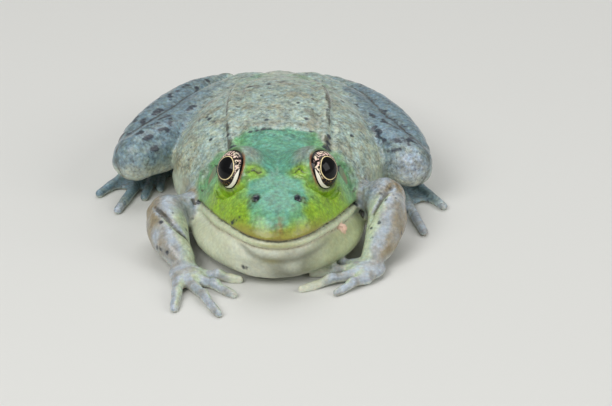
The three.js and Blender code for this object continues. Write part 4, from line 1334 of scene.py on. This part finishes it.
class FrogColours(bpy.types.PropertyGroup):
    """Colours of the skin, the eyes and the eardrums."""

    back: hue("Back", "Olive grey of the back", 166, 184, 174)
    flank: hue("Flank", "Warmer grey of the sides", 184, 194, 172)
    head: hue("Head", "Green of the head", 110, 168, 114)
    # bluer green between the eyes and down the snout, also a painted highlight on the nostrils' rims
    crown: hue("Crown", "Bluer green between the eyes and down the snout", 92, 160, 141)
    snout: hue("Snout sides", "Bright yellow green of the lips and snout sides", 142, 182, 40)
    lip: hue("Lip", "Golden olive of the front of the lip", 146, 138, 60)
    cheek: hue("Cheek", "Dull green behind the eye", 132, 180, 134)
    brow: hue("Brow", "Grey brown of the lids' tops", 144, 156, 146)
    pale: hue("Throat and belly", "Cream of the underside", 222, 226, 206)
    lower_lip: hue("Lower lip", "Roll along the lower jaw", 204, 214, 176)
    # painted shade of the throat's lower middle and of its fold, grey brown
    throat_painted_shade: hue("Throat shade", "Grey brown mottling of the throat", 122, 124, 104)
    throat_green: hue("Throat green", "Green cast at the left of the throat", 148, 160, 96)
    # light bluish grey of the arms, partly their own grey and partly a painted sheen of wet skin
    limb: hue("Arms", "Grey of the arms", 172, 182, 191)
    # cool grey of the legs, partly their own grey and partly a painted bluish cast of reflected light
    hind_limb: hue("Legs", "Cooler grey of the legs", 118, 142, 152)
    ridge: hue("Ridge", "Paler line along each ridge of the back", 190, 192, 166)
    # blue black of the spots and bars, also painted shade in the nostrils' pits, on the lids' inner edges and
    # round the eardrums
    mark: hue("Marks", "Blue black of the spots and bars", 20, 30, 46)
    # painted shade in the creases, grooves, wrinkles, under the ridges and round the eardrums: dark olive
    # brown
    fold: hue("Folds", "Dark olive brown in the folds and under the ridges", 52, 48, 36)
    # brown of the lips' edges, deepened as painted shade under the upper lip and in the fold under the lower
    # lip
    lip_brown_and_fold_shade: hue("Lip brown", "Warm brown along the edges of the lips", 138, 104, 50)
    # dark olive round the nostrils, also painted shade in the wrinkles' creases
    olive: hue("Nostril olive", "Dark olive round the nostrils", 84, 96, 40)
    lid_rim: hue("Lid rim", "Orange brown of the lids' inner rims", 150, 84, 40)
    lid_edge: hue("Lid edge", "Dull olive of the lids' outer rims", 92, 104, 70)
    pupil: hue("Pupil", "Black of the pupil", 4, 5, 7)
    ring_gold: hue("Pupil ring", "Gold of the ring round the pupil", 250, 230, 176)
    iris_gold: hue("Iris gold", "Gold of the iris", 244, 228, 200)
    iris_rose: hue("Iris rose", "Rose of the upper iris", 244, 208, 196)
    iris_bronze: hue("Iris bronze", "Bronze flecks of the lower iris", 138, 102, 54)
    iris_dark: hue("Iris dark", "Dark net over the iris", 22, 18, 16)
    third_lid: hue("Third lid", "Cream edge of the third lid", 252, 246, 230)
    brown: hue("Brown", "Brown of the arms' outer faces and of the back's mottling", 146, 132, 100)
    arm_inner: hue("Arm inside", "Greenish cream of the inner faces of the arms", 190, 204, 172)
    eardrum: hue("Eardrum", "Grey green of the eardrum", 120, 138, 108)
    eardrum_centre: hue("Eardrum centre", "Browner middle of the eardrum", 138, 130, 96)
    wart: hue("Wart", "Pink of the wart at the left of the jaw", 232, 196, 172)


class FrogStage(bpy.types.PropertyGroup):
    """The camera, the floor and the lights."""

    distance: amount("Distance", "From the camera to the frog, in millimetres", 680.0)
    elevation: bpy.props.FloatProperty(
        name="Elevation", description="Height of the camera above the horizon", subtype="ANGLE",
        unit="ROTATION", default=math.radians(25)
    )
    lens: amount("Lens", "Focal length of the camera, in millimetres", 198.0)
    floor: hue("Floor", "Pale grey of the floor", 214, 214, 210)
    key_power: amount("Key light", "Power of the large light at the front, in watts", 4.0)
    fill_power: amount("Fill light", "Power of the light at the other side, in watts", 1.5)
    top_power: amount("Top light", "Power of the light overhead, in watts", 2.2)
    world: amount("Surroundings", "Brightness of the surroundings", 0.25)


# ------------------------------------------------------------------ the pieces
def skin_lines():
    """Grid lines in x, y and z, closer on the head than behind and beside it."""
    shape = bpy.context.scene.frog_shape
    wider = 1
    fine, plain = shape.head_step * wider, shape.body_step * wider
    lines = []
    for axis, (low, high) in HEAD_ROOM.items():
        first, last = ROOM[axis]
        lines.append(spaced([(first, low, plain), (low, high, fine), (high, last, plain)]))
    return *lines, spaced([(*ROOM["z"], (fine + plain) / 2)])


class FROG_OT_skin(bpy.types.Operator):
    """One closed skin over the head, jaw, trunk and limbs: the zero level of a field of distances"""

    bl_idname = "frog.skin"
    bl_label = "Skin"

    def execute(self, context):
        """Where three limbs, a trunk and webs meet, no two-parameter grid closes without a seam.

        So the surface is the zero level of a field: the trunk's section curves, elliptical tubes along the
        limbs' curves and level slabs for the webs, joined by a rounded minimum.
        """
        flesh = Flesh()
        lines = skin_lines()
        value = np.empty([len(line) for line in lines], np.float32)
        for start in range(0, len(lines[0]), SLAB):
            block = lines[0][start:start + SLAB]
            grid = np.stack(np.meshgrid(block, *lines[1:], indexing="ij"), -1).reshape(-1, 3)
            value[start:start + SLAB] = flesh.distance(grid).reshape(len(block), *value.shape[1:])
        points, quads = largest_piece(*surface_net(lines, without_pinches(value)))
        for _ in range(2):
            points = relax(points, quads)
            points = settle_on(flesh.distance, points, 2)
        normal = gradient(flesh.distance, points)
        normal /= np.maximum(np.linalg.norm(normal, axis=1, keepdims=True), 1e-6)
        points = points + normal * relief(points)[:, None]
        points[:, 2] = np.maximum(points[:, 2], 0)
        obj = new_mesh("frog_skin", to_scene(points), quads)
        skin = SkinPaint(points, normal, flesh)
        skin.paint()
        # distances to the lines of painted shade in the creases
        store(obj, "line", skin.crease_shade_lines())
        store(obj, "tint", skin.tint)
        store(obj, "spot", spot_gap(points, dark_spots()))
        store(obj, "pebble", skin.pebble())
        store(obj, "fleck", skin.fleck())
        obj.data.materials.append(skin_finish())
        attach(obj, "root")
        flesh_nodes = [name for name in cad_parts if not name.startswith(("eye_", "eardrum_"))]
        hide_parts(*flesh_nodes)
        return {"FINISHED"}


def third_lid_gap(a, b, inside):
    """Distance to a crescent along the lids' rim, from the front of the eye to below it; negative on it."""
    turn = np.degrees(np.arctan2(b, a)) % 360
    taper = smooth(150, 200, turn) * smooth(285, 238, turn)
    return np.abs(inside - 0.5 - 0.16 * taper) - 0.4 * taper + 0.3 * (1 - smooth(0, 0.2, taper))


def eye_marks(local):
    """Distances that the eye's colours go by, from points in axes across, up and along the gaze."""
    shape = bpy.context.scene.frog_shape
    a, b, front = local[:, 0], local[:, 1], local[:, 2] > 0
    narrow = 1 + 0.3 * np.maximum(b, 0) / shape.pupil_height
    oval = np.hypot(a * narrow / (shape.pupil_width / 2), b / (shape.pupil_height / 2))
    half = (shape.pupil_width + shape.pupil_height) / 4
    inside = (np.radians(lid_opening(a, b)) - np.arctan2(np.hypot(a, b), local[:, 2])) * EYE_RADIUS
    return {
        "pupil": np.where(front, (oval - 1) * half, 3.0),
        "lit": smooth(-1.1, 0.2, b - 0.3 * a),
        # painted shade on the eyeball near the lids' rim
        "limbus": 0.42 - inside,
        "third_lid": np.where(front, third_lid_gap(a, b, inside), 1.0),
    }


class FROG_OT_eyes(bpy.types.Operator):
    """Two eyeballs, each a ball on a grid of rings round its gaze, marked with distances from its pupil"""

    bl_idname = "frog.eyes"
    bl_label = "Eyes"

    def execute(self, context):
        """Point at polar angle a and turn t round the gaze: radius (sin a cos t, sin a sin t, cos a)."""
        finish = eye_finish()
        polar = np.radians(np.concatenate([np.linspace(0.6, 90, 120), np.linspace(94, 179, 30)]))
        local = turned(np.sin(polar), np.cos(polar), EYE_AROUND, 1, -1) * EYE_RADIUS
        for name, side in SIDES.items():
            mirror = (side, 1, 1)
            points = EYE_CENTRE * mirror + local @ (eye_axes() * mirror)
            obj = round_mesh(f"frog_eye_{name}", to_scene(points), EYE_AROUND, side < 0)
            for mark, values in eye_marks(local).items():
                store(obj, mark, values)
            obj.data.materials.append(finish)
            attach(obj, "root")
            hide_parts(f"eye_{name}")
        return {"FINISHED"}


class FROG_OT_eardrums(bpy.types.Operator):
    """Two eardrums, each a shallow dish turned about its facing, with a raised middle and a thick rim"""

    bl_idname = "frog.eardrums"
    bl_label = "Eardrums"

    def execute(self, context):
        """Height at a share of the radius: a bell at the middle, a low ring, a fall to rim and back."""
        finish = eardrum_finish()
        facing = unit(EARDRUM_FACING)
        across = unit(np.cross((0, 0, 1), facing))
        axes = np.array([across, np.cross(facing, across), facing])
        share = np.concatenate([np.linspace(0.02, 1.0, 40), [1.0, 0.6, 0.05]])
        height = 0.22 * bump(share, 0, 0.45) + 0.1 * bump(share, 0.8, 0.12) - 0.25 * share**2
        height[-3:] = -0.9, -1.1, -1.1
        flat = turned(EARDRUM_RADIUS * share, height, EARDRUM_AROUND, 0.22, -1.1)
        reach = np.append(np.repeat(share, EARDRUM_AROUND), [0, 0])
        for name, side in SIDES.items():
            mirror = (side, 1, 1)
            points = (EARDRUM_CENTRE - 0.25 * facing) * mirror + flat @ (axes * mirror)
            obj = round_mesh(f"frog_eardrum_{name}", to_scene(points), EARDRUM_AROUND, side < 0)
            store(obj, "reach", reach)
            obj.data.materials.append(finish)
            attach(obj, "root")
            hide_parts(f"eardrum_{name}")
        return {"FINISHED"}


class FROG_OT_stage(bpy.types.Operator):
    """Pale floor, three soft lights and the camera"""

    bl_idname = "frog.stage"
    bl_label = "Stage"

    def execute(self, context):
        stage = context.scene.frog_stage
        corners = [(-3, -3, 0), (3, -3, 0), (3, 3, 0), (-3, 3, 0)]
        floor = new_mesh("stage_floor", corners, [(0, 1, 2, 3)])
        floor.data.materials.append(plain_finish("stage_floor", stage.floor, 0.7))
        world = bpy.data.worlds.new("stage_surroundings")
        world.use_nodes = True
        background = world.node_tree.nodes["Background"]
        background.inputs["Color"].default_value = (1.0, 1.0, 1.0, 1.0)
        background.inputs["Strength"].default_value = stage.world
        context.scene.world = world
        aim = Vector(to_scene(LIGHT_TARGET))
        for name, (offset, width) in LIGHTS.items():
            data = bpy.data.lights.new(f"stage_{name}", "AREA")
            data.size, data.energy = width, getattr(stage, f"{name}_power")
            light = bpy.data.objects.new(f"stage_{name}", data)
            light.location = aim + Vector(offset)
            light.rotation_euler = (-Vector(offset)).to_track_quat("-Z", "Y").to_euler()
            context.scene.collection.objects.link(light)
        data = bpy.data.cameras.new("stage_camera")
        data.lens, data.sensor_width = stage.lens, 36.0
        data.clip_start, data.clip_end = 0.01, 20.0
        camera = bpy.data.objects.new("stage_camera", data)
        back = Vector((0, -math.cos(stage.elevation), math.sin(stage.elevation)))
        camera.location = Vector(to_scene(CAMERA_TARGET)) + back * stage.distance * MM
        camera.rotation_euler = (-back).to_track_quat("-Z", "Y").to_euler()
        context.scene.collection.objects.link(camera)
        context.scene.camera = camera
        context.scene.view_settings.view_transform = "Standard"
        return {"FINISHED"}


class FROG_PT_pieces(bpy.types.Panel):
    """Lists the frog's pieces and their sizes and colours"""

    bl_idname = "FROG_PT_pieces"
    bl_label = "Green Frog"
    bl_space_type = "VIEW_3D"
    bl_region_type = "UI"
    bl_category = "Frog"

    def draw(self, context):
        for piece in PIECES:
            self.layout.operator(piece.bl_idname)
        for group in (context.scene.frog_shape, context.scene.frog_colours, context.scene.frog_stage):
            box = self.layout.box()
            for name in group.__annotations__:
                box.prop(group, name)


PIECES = (FROG_OT_skin, FROG_OT_eyes, FROG_OT_eardrums, FROG_OT_stage)
GROUPS = {"frog_shape": FrogShape, "frog_colours": FrogColours, "frog_stage": FrogStage}


def register():
    for cls in (*GROUPS.values(), *PIECES, FROG_PT_pieces):
        bpy.utils.register_class(cls)
    for name, cls in GROUPS.items():
        setattr(bpy.types.Scene, name, bpy.props.PointerProperty(type=cls))


def unregister():
    for name in GROUPS:
        delattr(bpy.types.Scene, name)
    for cls in reversed((*GROUPS.values(), *PIECES, FROG_PT_pieces)):
        bpy.utils.unregister_class(cls)


def main():
    """Builds every piece in order."""
    register()
    bpy.ops.frog.skin()
    bpy.ops.frog.eyes()
    bpy.ops.frog.eardrums()
    bpy.ops.frog.stage()


if __name__ == "__main__":
    main()
